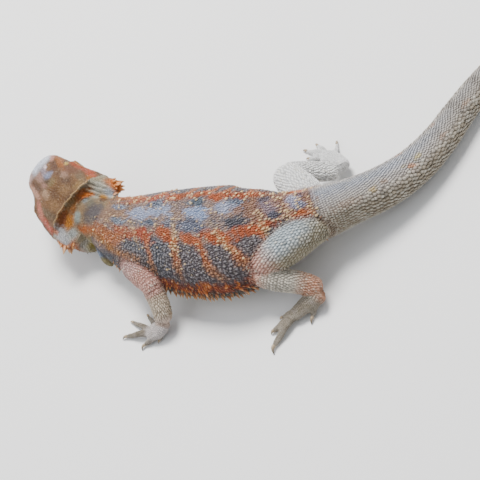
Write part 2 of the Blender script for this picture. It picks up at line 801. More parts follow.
        out += 0.55 * np.sin((u * 0.42 - v * 0.9) * 2.3 + 0.6) * folds
        out += 0.9 * bump(u, -11.0, 3.4) * bump(side, 19.5, 3.4) * (w > 0)
        return out

    def shield_edge(self, side: Array) -> Array:
        """Forward place of the crown's rear edge, further back on its left."""
        share = np.clip(side / 17.0, 0.0, 1.3)
        return -4.1 - 1.1 * share**2 + 0.25 * np.sin(side * 0.9)


HEAD = Head()



@dataclass
class Regions:
    """Which part of the animal each point belongs to, with its place on each part.

    Attributes:
        points: The points, in millimetres before the shift.
        along: Distance along the body's line.
        lean: Angle round the body from its top, in degrees, positive to the animal's left.
        shares: Share of each region, by name, adding up to one.
        places: For each region, the share of its length and the angle round it.
    """

    points: Array
    along: Array = field(init=False)
    lean: Array = field(init=False)
    shares: dict[str, Array] = field(init=False)
    places: dict[str, tuple[Array, Array]] = field(init=False)

    def __post_init__(self) -> None:
        """Work out places and shares from the distances outside every part."""
        self.along, turn, depth = BODY.coordinates(self.points)
        self.lean = (np.degrees(turn) - BACK_ANGLE + 180.0) % 360.0 - 180.0
        local = HEAD.inward(self.points)
        depths = {"body": depth, "head": HEAD.depth(self.points)}
        self.places = {
            "body": (self.along / BODY.lengths()[-1], turn),
            "head": ((local[:, 0] + 20.0) / 67.0, np.arctan2(local[:, 2], local[:, 1])),
        }
        depths["beard"] = self.measure("beard", BEARD) + 0.4
        depths["fold"] = self.measure("fold", SHOULDER_FOLD)
        for limb in LIMBS:
            for part, sweep in zip(("upper", "lower", "end"), limb.sweeps()):
                depths[f"{limb.name}.{part}"] = self.measure(f"{limb.name}.{part}", sweep)
            found = [digit.sweep(limb.base()).coordinates(self.points) for digit in limb.digits]
            best = np.argmin([depth for _, _, depth in found], axis=0)
            rows = np.arange(len(self.points))
            along = np.array([along for along, _, _ in found])[best, rows]
            turn = np.array([turn for _, turn, _ in found])[best, rows]
            column = (best + np.clip(along / 18.0, 0.0, 0.95)) / 5.0
            self.places[f"{limb.name}.digits"] = (column, turn)
            depths[f"{limb.name}.digits"] = np.min([depth for _, _, depth in found], axis=0)
        table = np.array(list(depths.values()))
        weight = np.exp(-(table - table.min(0)) / 0.7)
        weight /= weight.sum(0)
        self.shares = dict(zip(depths, weight))

    def measure(self, name: str, sweep: Sweep) -> Array:
        """Note the places on one sweep and give the distances outside it."""
        along, turn, depth = sweep.coordinates(self.points)
        self.places[name] = (along / sweep.lengths()[-1], turn)
        return depth

    def of(self, name: str) -> Array:
        """Share of all the regions whose name starts with the given words."""
        found = [share for key, share in self.shares.items() if key.startswith(name)]
        return np.sum(found, axis=0)

    def unwrap(self) -> Array:
        """Places on a flat layout: each region's length and turn in a box of its own."""
        boxes = {
            "body": (0.01, 0.01, 0.98, 0.48),
            "head": (0.01, 0.51, 0.36, 0.32),
            "beard": (0.38, 0.51, 0.16, 0.24),
            "fold": (0.38, 0.77, 0.05, 0.06),
        }
        for row, limb in enumerate(LIMBS):
            for column, part in enumerate(("upper", "lower", "end", "digits")):
                box = (0.56 + 0.11 * column, 0.51 + 0.12 * row, 0.10, 0.11)
                boxes[f"{limb.name}.{part}"] = box
        best = np.argmax(list(self.shares.values()), axis=0)
        flat = np.zeros((len(self.points), 2))
        for row, name in enumerate(self.shares):
            left, low, wide, high = boxes[name]
            along, turn = self.places[name]
            made = np.stack([left + wide * along, low + high * (turn / (2 * math.pi) % 1.0)], -1)
            flat = np.where((best == row)[:, None], made, flat)
        return flat


@dataclass(frozen=True)
class Patch:
    """A soft oval of colour on a chart of two coordinates.

    Attributes:
        place: Its middle.
        size: Half its length and half its width.
        colour: Its display colour.
        strength: Share of the colour at its middle.
        turn: Its turn on the chart, in degrees.
    """

    place: tuple[float, float]
    size: tuple[float, float]
    colour: tuple[float, float, float]
    strength: float = 1.0
    turn: float = 0.0

    def lay(
        self,
        colours: Array,
        first: Array,
        second: Array,
        ragged: Array,
        squeeze: float = 1.0,
        soft: float = 0.35,
    ) -> Array:
        """Colours with the patch laid over them.

        Args:
            colours: Colours so far.
            first: First coordinates of the points.
            second: Second coordinates.
            ragged: Noise from 0 to 1 that frays the patch's edge.
            squeeze: Millimetres for each unit of the second coordinate.
            soft: Share of the patch's size over which its colour fades.

        Returns:
            The new colours.
        """
        c, s = math.cos(math.radians(self.turn)), math.sin(math.radians(self.turn))
        dx, dy = first - self.place[0], (second - self.place[1]) * squeeze
        x = (dx * c + dy * s) / self.size[0]
        y = (dy * c - dx * s) / (self.size[1] * squeeze)
        reach = (np.abs(x) ** 2.3 + np.abs(y) ** 2.3) ** (1 / 2.3) + 1.5 * (ragged - 0.5)
        fade = smoothstep(0.95 + soft, 0.95 - soft, reach)
        return blend(colours, tint(*self.colour), fade * self.strength)


def patches(*rows: tuple) -> tuple[Patch, ...]:
    """Patches from rows of place, half sizes, colour and, if given, strength and turn."""
    return tuple(Patch(row[:2], row[2:4], *row[4:]) for row in rows)


def lay_all(
    table: Sequence[Patch],
    colours: Array,
    first: Array,
    second: Array,
    ragged: Array,
    squeeze: float = 1.0,
    soft: float = 0.35,
) -> Array:
    """Colours with every patch of a table laid over them; see Patch.lay."""
    for patch in table:
        colours = patch.lay(colours, first, second, ragged, squeeze, soft)
    return colours


# Display colours that several tables share.
ORANGE = (180, 100, 66)
RUST = (156, 70, 34)
CREAM = (210, 176, 134)
LILAC = (166, 178, 208)

BACK_PATCHES = patches(
    (60, -2, 10, 10, LILAC, 0.9),
    (77, -3, 9, 9, LILAC, 0.95),
    (104, -4, 9, 8, (156, 174, 212), 1.0),
    (122, -9, 9, 9, (160, 168, 196), 0.9),
    (164, -4, 4.5, 22, (158, 158, 188), 0.85),
    (148, 2, 5, 16, (148, 136, 152), 0.7),
    (40, -13, 6, 7, (124, 140, 166), 0.85),
    (43, 13, 6, 6, (120, 138, 158), 0.85),
    (57, 13, 4, 5, (112, 122, 138), 0.7),
    (69, 13, 7, 6, (100, 112, 132), 0.9),
    (70, -16, 7, 6, (98, 112, 132), 0.9),
    (84, 13, 4, 6, (108, 118, 138), 0.75),
    (100, 12, 10, 7, (98, 108, 130), 0.9),
    (100, -17, 7, 6, (90, 108, 124), 0.9),
    (115, 11, 4, 7, (104, 104, 114), 0.75),
    (127, 11, 7, 9, (78, 80, 90), 0.95),
    (130, -18, 7, 6, (96, 112, 134), 0.9),
    (149, 15, 5, 8, (88, 90, 106), 0.9),
    (148, -16, 5, 6, (106, 104, 120), 0.75),
    (166, 14, 4, 10, (116, 120, 148), 0.8),
    (168, -26, 4, 10, (120, 98, 104), 0.6),
)
BLOCKS = patches(
    (51, 26, 12, 7, ORANGE, 0.8, 12),
    (68, 27, 8, 7.5, (180, 92, 68), 0.95, 22),
    (84.5, 24, 8.5, 7, ORANGE, 1.0, 20),
    (100.5, 26, 8, 6, ORANGE, 1.0, 20),
    (116.5, 24, 9.5, 7, (176, 92, 56), 1.0, 15),
    (138, 27, 13, 7.5, (176, 92, 58), 1.0, 10),
    (166, 36, 7.5, 10, (196, 108, 56), 1.0),
    (152, 43, 12, 6, (70, 62, 60), 0.85, -25),
)
# Orange bars across the flanks: place at the back's edge, place at the foot, strength.
BARS = (
    (70.5, 77.0, 0.7),
    (91.5, 94.5, 0.75),
    (107.0, 114.5, 0.95),
    (121.5, 127.5, 0.95),
    (139.0, 143.0, 0.8),
)
# Cream lines across the back: place at its middle, and slope with the angle.
CREAM_LINES = (
    (51.0, 0.36),
    (86.5, 0.16),
    (110.5, 0.30),
    (139.0, 0.10),
    (158.0, 0.05),
    (172.0, 0.0),
)
TAIL_PATCHES = patches(
    (188, 46, 7, 9, (170, 140, 118), 0.5),
    (205, 36, 2.6, 7, (210, 184, 128), 0.75),
    (213, 30, 2.0, 5, (190, 146, 110), 0.5),
    (233, 34, 3.2, 6, (198, 126, 72), 0.75, 40),
    (229, 20, 2.0, 5, (200, 184, 132), 0.5),
    (240, 22, 2.6, 7, (206, 188, 120), 0.75),
    (262, 34, 3.6, 8, (182, 128, 90), 0.4),
    (290, 30, 3.6, 9, (176, 124, 88), 0.4),
    (234, -36, 3.0, 8, (196, 130, 84), 0.5),
    (266, -30, 3.6, 9, (182, 126, 90), 0.4),
)
CROWN_PATCHES = patches(
    (8, 0, 12, 14, (126, 90, 54), 0.5),
    (27, 8.5, 13, 2.6, (96, 64, 44), 0.9, 3),
    (15, 9.5, 6, 2.4, (132, 96, 70), 0.7, 12),
    (27, -8.5, 11, 2.2, (96, 64, 46), 0.9, -6),
    (14, -12, 7, 1.8, (124, 90, 70), 0.8, -8),
    (8, -8.5, 4.4, 3.0, (88, 64, 48), 0.85, 30),
    (12, -10, 3.6, 2.0, (182, 148, 128), 0.6),
    (12.5, 6.5, 4.4, 2.4, (182, 150, 122), 0.8),
    (19, 3.5, 3.4, 1.8, (178, 136, 122), 0.7, 20),
    (15.5, -1, 3.0, 3.2, (132, 112, 76), 0.8),
    (19.5, 0.5, 2.6, 2.2, (88, 70, 50), 0.85),
    (8, 2.5, 3.8, 2.8, (100, 72, 50), 0.75),
    (3, -4, 4.0, 3.4, (150, 118, 84), 0.6),
    (1, 8, 4.0, 3.4, (146, 112, 76), 0.6),
    (30, 3, 6, 2.6, (176, 140, 128), 0.8),
    (30, -1.5, 6, 2.0, (170, 158, 172), 0.7),
    (23.5, -2.6, 3.8, 2.8, (142, 154, 184), 0.7, 40),
    (33, -4, 2.4, 1.2, (240, 222, 226), 0.95),
    (4, 14.6, 9, 1.9, (108, 90, 68), 0.85, 8),
    (3, -16, 9, 2.2, (124, 104, 80), 0.85, -10),
    (-1.5, -12, 2.6, 4, (156, 124, 78), 0.7),
    (13, -15.0, 8, 2.6, (118, 78, 58), 0.85, 20),
    (2, -21.4, 10, 2.0, (176, 76, 44), 0.95, -4),
    (12, -19.4, 7, 1.7, (172, 82, 54), 0.95, 14),
    (27, -13.0, 9, 1.9, (158, 96, 48), 0.95, -6),
    (36, -11.0, 4, 1.8, (206, 152, 134), 0.9, -20),
    (20, -15.4, 2.0, 1.2, (200, 170, 92), 0.9),
    (0, 20.5, 7, 2.4, (190, 88, 70), 0.95, -4),
    (10, 16.6, 7, 2.2, (190, 118, 100), 0.9, -26),
    (27, 11.8, 11, 1.8, (190, 144, 122), 0.9, 2),
    (-4, -19.0, 3.6, 1.6, (158, 98, 28), 0.9, -10),
    (-3.5, 17.5, 3.0, 1.4, (126, 94, 70), 0.8, 20),
)
NAPE_PATCHES = patches(
    (-13, 0, 8, 11, (150, 122, 88), 0.8),
    (-12, 4, 3.6, 3.6, (166, 176, 168), 0.95, 20),
    (-9.0, -7.5, 2.6, 2.0, (160, 168, 166), 0.9, -30),
    (-13.5, -8.5, 4.0, 2.4, (132, 128, 110), 0.8, -30),
    (-11.5, -14.5, 4.6, 2.8, (186, 182, 164), 0.9, 40),
    (-11.5, -18.5, 7.0, 4.6, (206, 204, 190), 1.0, 30),
    (-16, -20.5, 3.4, 3.0, (172, 180, 190), 0.9),
    (-7.0, 12, 2.9, 9.0, (132, 72, 0), 1.0, 8),
    (-10.2, 10, 2.2, 6.4, (206, 132, 50), 0.95, 16),
    (-6.2, -8.5, 2.1, 8.0, (128, 70, 0), 1.0, -4),
    (-8.4, -11.0, 1.3, 4.0, (206, 112, 26), 1.0, -30),
    (-7.4, 1.5, 1.8, 2.8, (160, 100, 40), 0.9),
    (-5.2, -1, 1.3, 3.8, (104, 74, 30), 0.9),
    (-11.0, 19.5, 6.0, 4.4, (206, 206, 208), 1.0, -20),
    (-14.5, 13.5, 3.0, 3.0, (178, 184, 182), 0.9),
    (-6.4, 19.8, 2.4, 1.6, (202, 116, 72), 0.8),
    (-15.5, -15.8, 3.0, 1.8, (184, 128, 40), 0.95, 10),
    (-20.5, -16.5, 5.6, 1.5, (98, 50, 22), 0.95, 28),
    (-26, -13, 3, 3, (186, 162, 122), 0.7),
    (-22.5, -6.0, 7.6, 8.0, (92, 90, 98), 0.85, 20),
    (-28, -8, 2.4, 5.0, (136, 104, 98), 0.8),
    (-23, -16.5, 5.0, 2.4, (182, 158, 118), 0.5, 20),
)


class Markings:
    """Colours of skin and scales, from their places on the animal."""

    def paint(self, regions: Regions) -> Array:
        """Linear colours for all points, blended where parts meet."""
        made = {
            "body": self.body(regions),
            "head": self.head(regions.points),
            "beard": self.beard(regions.points),
            "fold": self.fold(regions.points),
        }
        total = np.zeros((len(regions.points), 3))
        for name, colours in made.items():
            total += colours * regions.of(name)[:, None]
        crevice = regions.of("fold") * (1 - regions.of("fold"))
        for limb in LIMBS:
            share = regions.of(limb.name)
            total += self.limb(limb, regions) * share[:, None]
            crevice = crevice + share * (1 - share)
        total = total * (1 - np.clip(crevice * 4.0, 0.0, 1.0)[:, None] * (0.4, 0.55, 0.6))
        grain = lattice_noise(regions.points, 0.9, 31)
        wide = rough_noise(regions.points, 12.0, 32)
        shade = 0.76 + 0.30 * grain + 0.20 * wide
        pale = np.sum([limb.paleness * regions.of(limb.name) for limb in LIMBS], axis=0)
        return self.punch(total * (shade + (1.1 - shade) * pale)[:, None])

    @staticmethod
    def punch(colours: Array) -> Array:
        """Colours a little more saturated: each channel moved away from their mean."""
        grey = colours.mean(1, keepdims=True)
        return np.clip(grey + (colours - grey) * 1.1, 0.004, 0.95)

    def body(self, regions: Regions) -> Array:
        """Neck, trunk and tail."""
        s, a, points = regions.along, regions.lean, regions.points
        trunk = self.trunk(s, a, points)
        neck = self.neck(s, a, points)
        tail = self.tail(s, a, points)
        fray = lattice_noise(points, 2.5, 3)
        trunk = trunk + (neck - trunk) * smoothstep(33.0, 27.0, s + 5 * fray)[:, None]
        drift = rough_noise(points, 2.0, 12) - 0.5
        root = smoothstep(173.0, 178.5, s + 3 * fray + 5 * drift)
        return trunk + (tail - trunk) * root[:, None]

    def trunk(self, s: Array, a: Array, points: Array) -> Array:
        """Back, flanks and belly between the shoulders and the hips.

        A tan ground carries lilac and slate ovals on the back, orange blocks along both
        edges of the back, dark flanks crossed by bars, and a rust fringe above the belly.
        """
        fine = rough_noise(points, 1.5, 5)
        fray = lattice_noise(points, 2.6, 6)
        drift = rough_noise(points, 8.0, 7) - 0.5
        far = a < 0
        s = s + 3.0 * drift + 2.2 * (fray - 0.5) + np.where(far, 2.0, 0.0)
        a = a + 6.0 * drift
        p = np.abs(a) - np.where(far, 3.0, 0.0)
        colour = ground(len(s), 156, 138, 136)
        colour = wash(
            colour,
            ((178, 146, 122), smoothstep(0.42, 0.62, fine) * 0.6),
            ((148, 106, 86), smoothstep(118.0, 138.0, s) * 0.85),
        )
        share = smoothstep(0.5, 0.7, fray) * smoothstep(140.0, 156.0, s) * 0.7
        colour = blend(colour, tint(186, 150, 140), share)
        share = smoothstep(60.0, 38.0, s) * smoothstep(24.0, 14.0, p) * 0.6
        colour = blend(colour, tint(178, 140, 106), share)
        colour = lay_all(BACK_PATCHES, colour, s, a, 0.5 * fray + 0.5 * fine, 0.55)
        side = smoothstep(27.0, 33.0, p)
        dark = ground(len(s), 106, 98, 102)
        dark = wash(
            dark,
            ((100, 102, 110), smoothstep(96.0, 80.0, s)),
            ((126, 116, 110), smoothstep(0.5, 0.72, fine) * 0.5),
        )
        flank = side * smoothstep(48.0, 58.0, s + 0.3 * (p - 30))
        colour = colour + (dark - colour) * flank[:, None]
        shoulder = side * smoothstep(60.0, 48.0, s + 0.4 * (p - 34.0)) * smoothstep(60.0, 50.0, p)
        share = smoothstep(0.0, 1.0, shoulder) * (0.55 + 0.5 * fine)
        colour = blend(colour, tint(186, 116, 72), share)
        ochre = bump(p, 59.0, 8.0) * smoothstep(78.0, 52.0, s)
        colour = blend(colour, tint(178, 122, 62), ochre * (0.4 + 0.6 * fray))
        hollow = bump(s, 75.0, 7.0) * bump(p, 70.0, 9.0)
        colour = blend(colour, tint(70, 56, 46), hollow * 0.8)
        colour = lay_all(BLOCKS, colour, s, p, 0.6 * fine + 0.4 * fray, 0.55)
        for top, foot, strength in BARS:
            middle = top + (foot - top) * (p - 30.0) / 30.0
            bar = bump(s, middle, 1.5 + 0.7 * fray)
            bar = bar * smoothstep(24.0, 30.0, p) * smoothstep(80.0, 50.0, p)
            colour = blend(colour, tint(184, 106, 64), bar * strength)
            low = bump(s, middle, 2.4) * smoothstep(46.0, 58.0, p) * smoothstep(76.0, 66.0, p)
            colour = blend(colour, tint(158, 126, 98), low * 0.5)
        for start, slope in CREAM_LINES:
            line = bump(s, start + slope * np.maximum(p, 0.0), 1.3) * smoothstep(48.0, 34.0, p)
            line = line * self.line_share(a)
            colour = blend(colour, tint(*CREAM), line * (0.1 + 0.8 * fray))
        streak = lattice_noise(np.stack([s, a / 9.0, s * 0.0], -1), 1.5, 60)
        fringe = smoothstep(73.0, 82.0, p + 9 * (streak - 0.5)) * smoothstep(99.0, 91.0, p)
        fringe = fringe * smoothstep(62.0, 76.0, s) * smoothstep(158.0, 140.0, s)
        colour = blend(colour, tint(*RUST), fringe * (0.75 + 0.25 * streak))
        colour = wash(
            colour,
            ((214, 132, 72), fringe * smoothstep(0.5, 0.8, streak) * 0.7),
            ((60, 50, 42), fringe * smoothstep(0.45, 0.2, streak) * 0.8),
        )
        share = smoothstep(91.0, 98.0, p) * smoothstep(124.0, 108.0, p) * 0.9
        return wash(
            colour,
            ((84, 80, 70), share),
            ((182, 174, 160), smoothstep(108.0, 124.0, p)),
        )

    @staticmethod
    def line_share(a: Array) -> Array:
        """How strongly the cream lines show: most below the near edge of the back."""
        return 0.25 + 0.75 * smoothstep(4.0, 18.0, a)

    def neck(self, s: Array, a: Array, points: Array) -> Array:
        """Nape, side folds and throat, laid out on the head's plan."""
        local = HEAD.inward(points)
        u, v, w = local.T
        fine = rough_noise(points, 1.7, 8)
        colour = ground(len(s), 160, 140, 112)
        colour = blend(colour, tint(182, 156, 118), smoothstep(0.45, 0.65, fine) * 0.6)
        colour = lay_all(NAPE_PATCHES, colour, u, v, 0.5 + 0.6 * (fine - 0.5), 1.0, 0.5)
        band = v - (10.5 + 0.58 * (u + 14.0))
        band = np.exp(-((band / 2.9) ** 2)) * smoothstep(-9.0, -14.0, u) * (w > -22)
        colour = blend(colour, tint(196, 108, 52), band * (0.65 + 0.5 * fine))
        below = smoothstep(3.5, 6.0, v - (10.5 + 0.58 * (u + 14.0))) * smoothstep(-14.0, -18.0, u)
        colour = blend(colour, tint(126, 122, 114), below)
        share = below * bump(u, -26.0, 3.0) * bump(v, 9.0, 4.0) * 0.7
        colour = blend(colour, tint(176, 160, 96), share)
        blue = bump(s, 35.0, 4.5) * smoothstep(66.0, 80.0, a) * smoothstep(124.0, 108.0, a)
        colour = blend(colour, tint(122, 140, 164), blue)
        olive = bump(s, 27.0, 3.0) * smoothstep(74.0, 86.0, a) * smoothstep(122.0, 108.0, a)
        colour = blend(colour, tint(126, 110, 48), olive * 0.8)
        far = smoothstep(-19.0, -24.0, v) * smoothstep(-14.0, -18.0, u)
        return blend(colour, tint(126, 118, 98), far * 0.8)

    def tail(self, s: Array, a: Array, points: Array) -> Array:
        """Tail, pale and cool at its root and browner below and towards its end."""
        p = np.abs(a)
        fine = rough_noise(points, 2.2, 9)
        colour = ground(len(s), 184, 176, 170)
        colour = wash(
            colour,
            ((170, 178, 194), bump(a, -8.0, 26.0) * 0.8),
            ((156, 148, 138), smoothstep(225.0, 290.0, s) * 0.7),
            ((126, 116, 104), smoothstep(290.0, 400.0, s) * 0.8),
            ((140, 126, 104), smoothstep(26.0, 72.0, a) * 0.9),
        )
        rings = 0.5 + 0.5 * np.cos((s - 262.0 + 3.0 * fine) * (2 * math.pi / 24.0))
        share = smoothstep(0.62, 0.95, rings) * smoothstep(238.0, 290.0, s) * 0.5
        colour = blend(colour, tint(112, 104, 98), share)
        colour = lay_all(TAIL_PATCHES, colour, s, a, fine, 0.25, 0.6)
        return blend(colour, tint(182, 176, 164), smoothstep(116.0, 140.0, p) * 0.8)

    def head(self, points: Array) -> Array:
        """Crown, snout, cheeks and jaw, laid out on the head's plan."""
        local = HEAD.inward(points)
        u, v, w = local.T
        side = np.abs(v)
        fine = rough_noise(points, 1.3, 10)
        fray = rough_noise(points, 3.4, 11)
        colour = ground(len(u), 110, 78, 50)
        colour = wash(
            colour,
            ((130, 96, 66), smoothstep(0.5, 0.72, fray) * 0.7),
            ((78, 54, 34), smoothstep(0.5, 0.3, fray) * 0.8),
        )
        tip = smoothstep(34.0, 40.0, u + 2.0 * (fray - 0.5) + 0.12 * w)
        top = smoothstep(0.5, 3.5, w + 0.12 * u)
        cheek = ground(len(u), 186, 140, 118)
        cheek = blend(cheek, tint(196, 178, 164), smoothstep(0.4, 0.7, fray) * 0.6)
        share = smoothstep(12.0, -2.0, u) * smoothstep(-2.0, 3.0, w) * 0.7
        cheek = blend(cheek, tint(196, 108, 84), share)
        share = smoothstep(0.0, -8.0, v) * bump(u, 8.0, 14.0) * smoothstep(-3.0, 3.0, w) * 0.8
        cheek = wash(
            cheek,
            ((170, 80, 50), share),
            ((186, 178, 166), smoothstep(1.0, -5.0, w) * 0.8),
        )
        ragged = 0.5 + 0.4 * (fine - 0.5) + 0.3 * (fray - 0.5)
        crown = lay_all(CROWN_PATCHES, colour, u, v, ragged, 1.0, 0.6)
        colour = cheek + (crown - cheek) * top[:, None]
        colour = wash(
            colour,
            ((226, 230, 242), tip * smoothstep(11.0, 5.0, np.abs(v + 2.5))),
            ((204, 176, 170), tip * smoothstep(4.0, 8.0, v) * 0.8),
        )
        edge = u - HEAD.shield_edge(v)
        rear = ground(len(u), 160, 150, 124)
        rear = lay_all(NAPE_PATCHES, rear, u, v, 0.5 + 0.5 * (fine - 0.5), 1.0, 0.5)
        stripes = np.sin((u * 0.42 - v * 0.9) * 2.3)
        fold = bump(u, -9.5, 5.0) * bump(v, -17.0, 4.5)
        rear = blend(rear, tint(140, 130, 108), smoothstep(0.2, 0.95, stripes) * fold * 0.7)
        corner = smoothstep(21.0, 25.0, side) * smoothstep(-6.0, -11.0, u)
        rim = bump(u + 0.1 * (side - 20), -16.4, 1.5) * smoothstep(3.5, 1.0, w) * (v > 10)
        corner = np.maximum(corner, rim)
        rear = blend(rear, tint(204, 116, 58), corner * (0.6 + 0.6 * fine))
        low = smoothstep(-3.0, -8.0, w) * (1 - corner)
        rear = blend(rear, tint(170, 160, 146), low * 0.8)
        line = np.exp(-(((edge - 0.35) / 0.3) ** 2))
        line = line * smoothstep(4.0, 7.0, w) * smoothstep(18.5, 16.0, side)
        colour = colour + (rear - colour) * smoothstep(0.15, -0.15, edge)[:, None]
        colour = blend(colour, tint(206, 168, 118), line * (0.3 + 0.6 * fine))
        lip = np.exp(-(((w + 3.4) / 1.2) ** 2)) * smoothstep(4.0, 8.0, u)
        colour = blend(colour, tint(208, 190, 166), lip * 0.7 * fray)
        ear = HEAD.from_ear(local)
        colour = blend(colour, tint(66, 48, 42), smoothstep(1.05, 0.7, ear) * (side > 12))
        nose = HEAD.from_nostril(local)
        colour = blend(colour, tint(46, 36, 34), smoothstep(1.2, 0.6, nose) * (side > 4))
        slit = HEAD.over_mouth(local)
        share = np.exp(-((slit / 0.45) ** 2)) * smoothstep(3.0, 6.0, u)
        colour = blend(colour, tint(78, 52, 44), share)
        lid = HEAD.from_eye(local, 1.4)
        return blend(colour, tint(186, 132, 84), smoothstep(4.4, 3.2, lid) * (side > 10) * 0.75)

    def beard(self, points: Array) -> Array:
        """Throat pouch, grey with pale scale tips, rusty at its corners."""
        fine = rough_noise(points, 2.4, 14)
        local = HEAD.inward(points)
        colour = ground(len(points), 168, 162, 152)
        colour = blend(colour, tint(186, 180, 166), smoothstep(0.45, 0.7, fine) * 0.6)
        share = bump(local[:, 0], -24.5, 2.4) * bump(local[:, 1], 11.0, 5.0)
        colour = blend(colour, tint(150, 132, 58), share)
        rim = bump(local[:, 0], -15.6, 1.4) * smoothstep(8.0, 12.0, np.abs(local[:, 1]))
        colour = blend(colour, tint(206, 120, 56), rim * 0.9)
        corner = smoothstep(16.0, 23.0, np.abs(local[:, 1])) * smoothstep(-12.0, -6.0, local[:, 2])
        return wash(
            colour,
            ((196, 118, 64), corner * 0.8),
            ((92, 84, 78), smoothstep(9.0, 4.0, points[:, 2]) * 0.4),
        )

    def fold(self, points: Array) -> Array:
        """Fold of skin in front of the shoulder, bluish, olive at its lower end."""
        fine = rough_noise(points, 2.0, 17)
        colour = ground(len(points), 140, 160, 188)
        return wash(
            colour,
            ((104, 112, 124), smoothstep(0.55, 0.75, fine) * 0.5),
            ((150, 136, 84), smoothstep(-9.5, -11.5, points[:, 1]) * 0.9),
        )

    def limb(self, limb: Limb, regions: Regions) -> Array:
        """One leg or arm, paler on top, olive below, salmon at its joints."""
        points = regions.points
        count = len(points)
        fine = rough_noise(points, 2.6, 16)
        upper = regions.places[f"{limb.name}.upper"][0]
        lower = regions.places[f"{limb.name}.lower"][0]
        end = regions.of(f"{limb.name}.end") + regions.of(f"{limb.name}.digits")
        reach = regions.of(f"{limb.name}.lower")
        digits = regions.of(f"{limb.name}.digits")
        if "leg" in limb.name:
            high = smoothstep(31.5, 40.5, points[:, 2] + 5.0 * (fine - 0.5))
            thigh = blend(ground(count, 166, 156, 132), tint(188, 200, 208), high)
            thigh = blend(thigh, tint(214, 162, 146), smoothstep(0.66, 0.92, upper))
            shank = ground(count, 206, 198, 184)
            shank = wash(
                shank,
                ((216, 164, 142), smoothstep(0.3, 0.05, lower)),
                ((196, 134, 102), smoothstep(0.5, 0.82, lower) * 0.9),
            )
            foot = blend(ground(count, 172, 164, 152), tint(128, 112, 88), fine * 0.7)
            start = smoothstep(0.34, 0.06, regions.places[f"{limb.name}.end"][0])
            foot = blend(foot, tint(190, 136, 108), start * (1 - digits) * 0.9)
            knee = np.array((41.0, -31.0, 30.0))
            near = np.linalg.norm(points - knee, axis=1)
            shank = blend(shank, tint(214, 124, 60), smoothstep(4.5, 1.5, near) * 0.7)
        else:
            low = smoothstep(22.0, 15.0, points[:, 2])
            thigh = blend(ground(count, 206, 168, 162), tint(158, 132, 96), low)
            share = smoothstep(0.4, 0.75, upper) * (0.3 + 0.4 * fine)
            thigh = blend(thigh, tint(206, 140, 116), share)
            shank = ground(count, 200, 182, 160)
            shank = wash(
                shank,
                ((150, 128, 92), smoothstep(18.0, 10.0, points[:, 2])),
                ((208, 156, 134), smoothstep(0.5, 0.1, lower) * 0.85),
                ((202, 180, 168), smoothstep(0.72, 0.95, lower) * 0.85),
            )
            foot = ground(count, 204, 196, 194)
            foot = blend(foot, tint(112, 100, 76), digits * (0.6 + 0.35 * fine))
        colour = thigh + (shank - thigh) * smoothstep(0.2, 0.8, reach)[:, None]
        colour = colour + (foot - colour) * smoothstep(0.2, 0.8, end)[:, None]
        return wash(
            colour,
            ((104, 94, 78), smoothstep(0.58, 0.8, fine) * 0.3),
            ((250, 252, 254), limb.paleness * 0.92),
        )


def linked(name: str, data: bpy.types.ID) -> bpy.types.Object:
    """A new object of the scene with the given data."""
    thing = bpy.data.objects.new(name, data)
    bpy.context.scene.collection.objects.link(thing)
    return thing


def make_mesh(
    name: str, points: Array, faces: Array | list, colours: Array | None = None
) -> bpy.types.Object:
    """An object from points in millimetres of the part's frame, moved to the floor's centre.

    Args:
        name: Name of the object.
        points: Points, in millimetres before the shift.
        faces: Faces as rows of point numbers.
        colours: A linear colour for each point, kept as the attribute tone.

    Returns:
        The linked object.
    """
    mesh = bpy.data.meshes.new(name)
    rows = faces.tolist() if isinstance(faces, np.ndarray) else faces
    mesh.from_pydata(((points + SHIFT) * MM).tolist(), [], rows)
    mesh.polygons.foreach_set("use_smooth", np.ones(len(mesh.polygons), bool))
    if colours is not None:
        add_colours(mesh, colours)
    return linked(name, mesh)


def add_colours(mesh: bpy.types.Mesh, colours: Array) -> None:
    """Keep a linear colour for each point as the attribute tone."""
    layer = mesh.color_attributes.new("tone", "FLOAT_COLOR", "POINT")
    table = np.ones((len(colours), 4), np.float32)
    table[:, :3] = colours
    layer.data.foreach_set("color", table.ravel())


def vertex_rows(mesh: bpy.types.Mesh, kind: str) -> Array:
    """Three numbers for each vertex of a mesh: its place (co) or its normal (normal)."""
    found = np.empty(len(mesh.vertices) * 3, np.float32)
    mesh.vertices.foreach_get(kind, found)
    return found.reshape(-1, 3).astype(float)


def mesh_points(mesh: bpy.types.Mesh) -> Array:
    """Points of a mesh, in millimetres before the shift."""
    return vertex_rows(mesh, "co") / MM - SHIFT


def shell_mesh(grid: Array) -> tuple[Array, list]:
    """Points and faces of a closed surface made of rings, with a fan at each end."""
    rings, ring = grid.shape[:2]
    points = np.vstack([grid.reshape(-1, 3), grid[0].mean(0), grid[-1].mean(0)])
    i = np.arange(rings - 1)[:, None] * ring
    j = np.arange(ring)[None]
    k = (j + 1) % ring
    quads = np.stack([i + j, i + k, i + ring + k, i + ring + j], -1).reshape(-1, 4)
    first, last = rings * ring, rings * ring + 1
    j, k = np.arange(ring), (np.arange(ring) + 1) % ring
    low = np.stack([np.full(ring, first), k, j], -1)
    high = np.stack([np.full(ring, last), (rings - 1) * ring + j, (rings - 1) * ring + k], -1)
    return points, quads.tolist() + low.tolist() + high.tolist()


def joined(grids: Sequence[Array]) -> tuple[Array, list]:
    """Points and faces of several ring surfaces as one mesh."""
    points, faces, start = [], [], 0
    for grid in grids:
        some, some_faces = shell_mesh(grid)
        points.append(some)
        faces += [[i + start for i in face] for face in some_faces]
        start += len(some)
    return np.vstack(points), faces


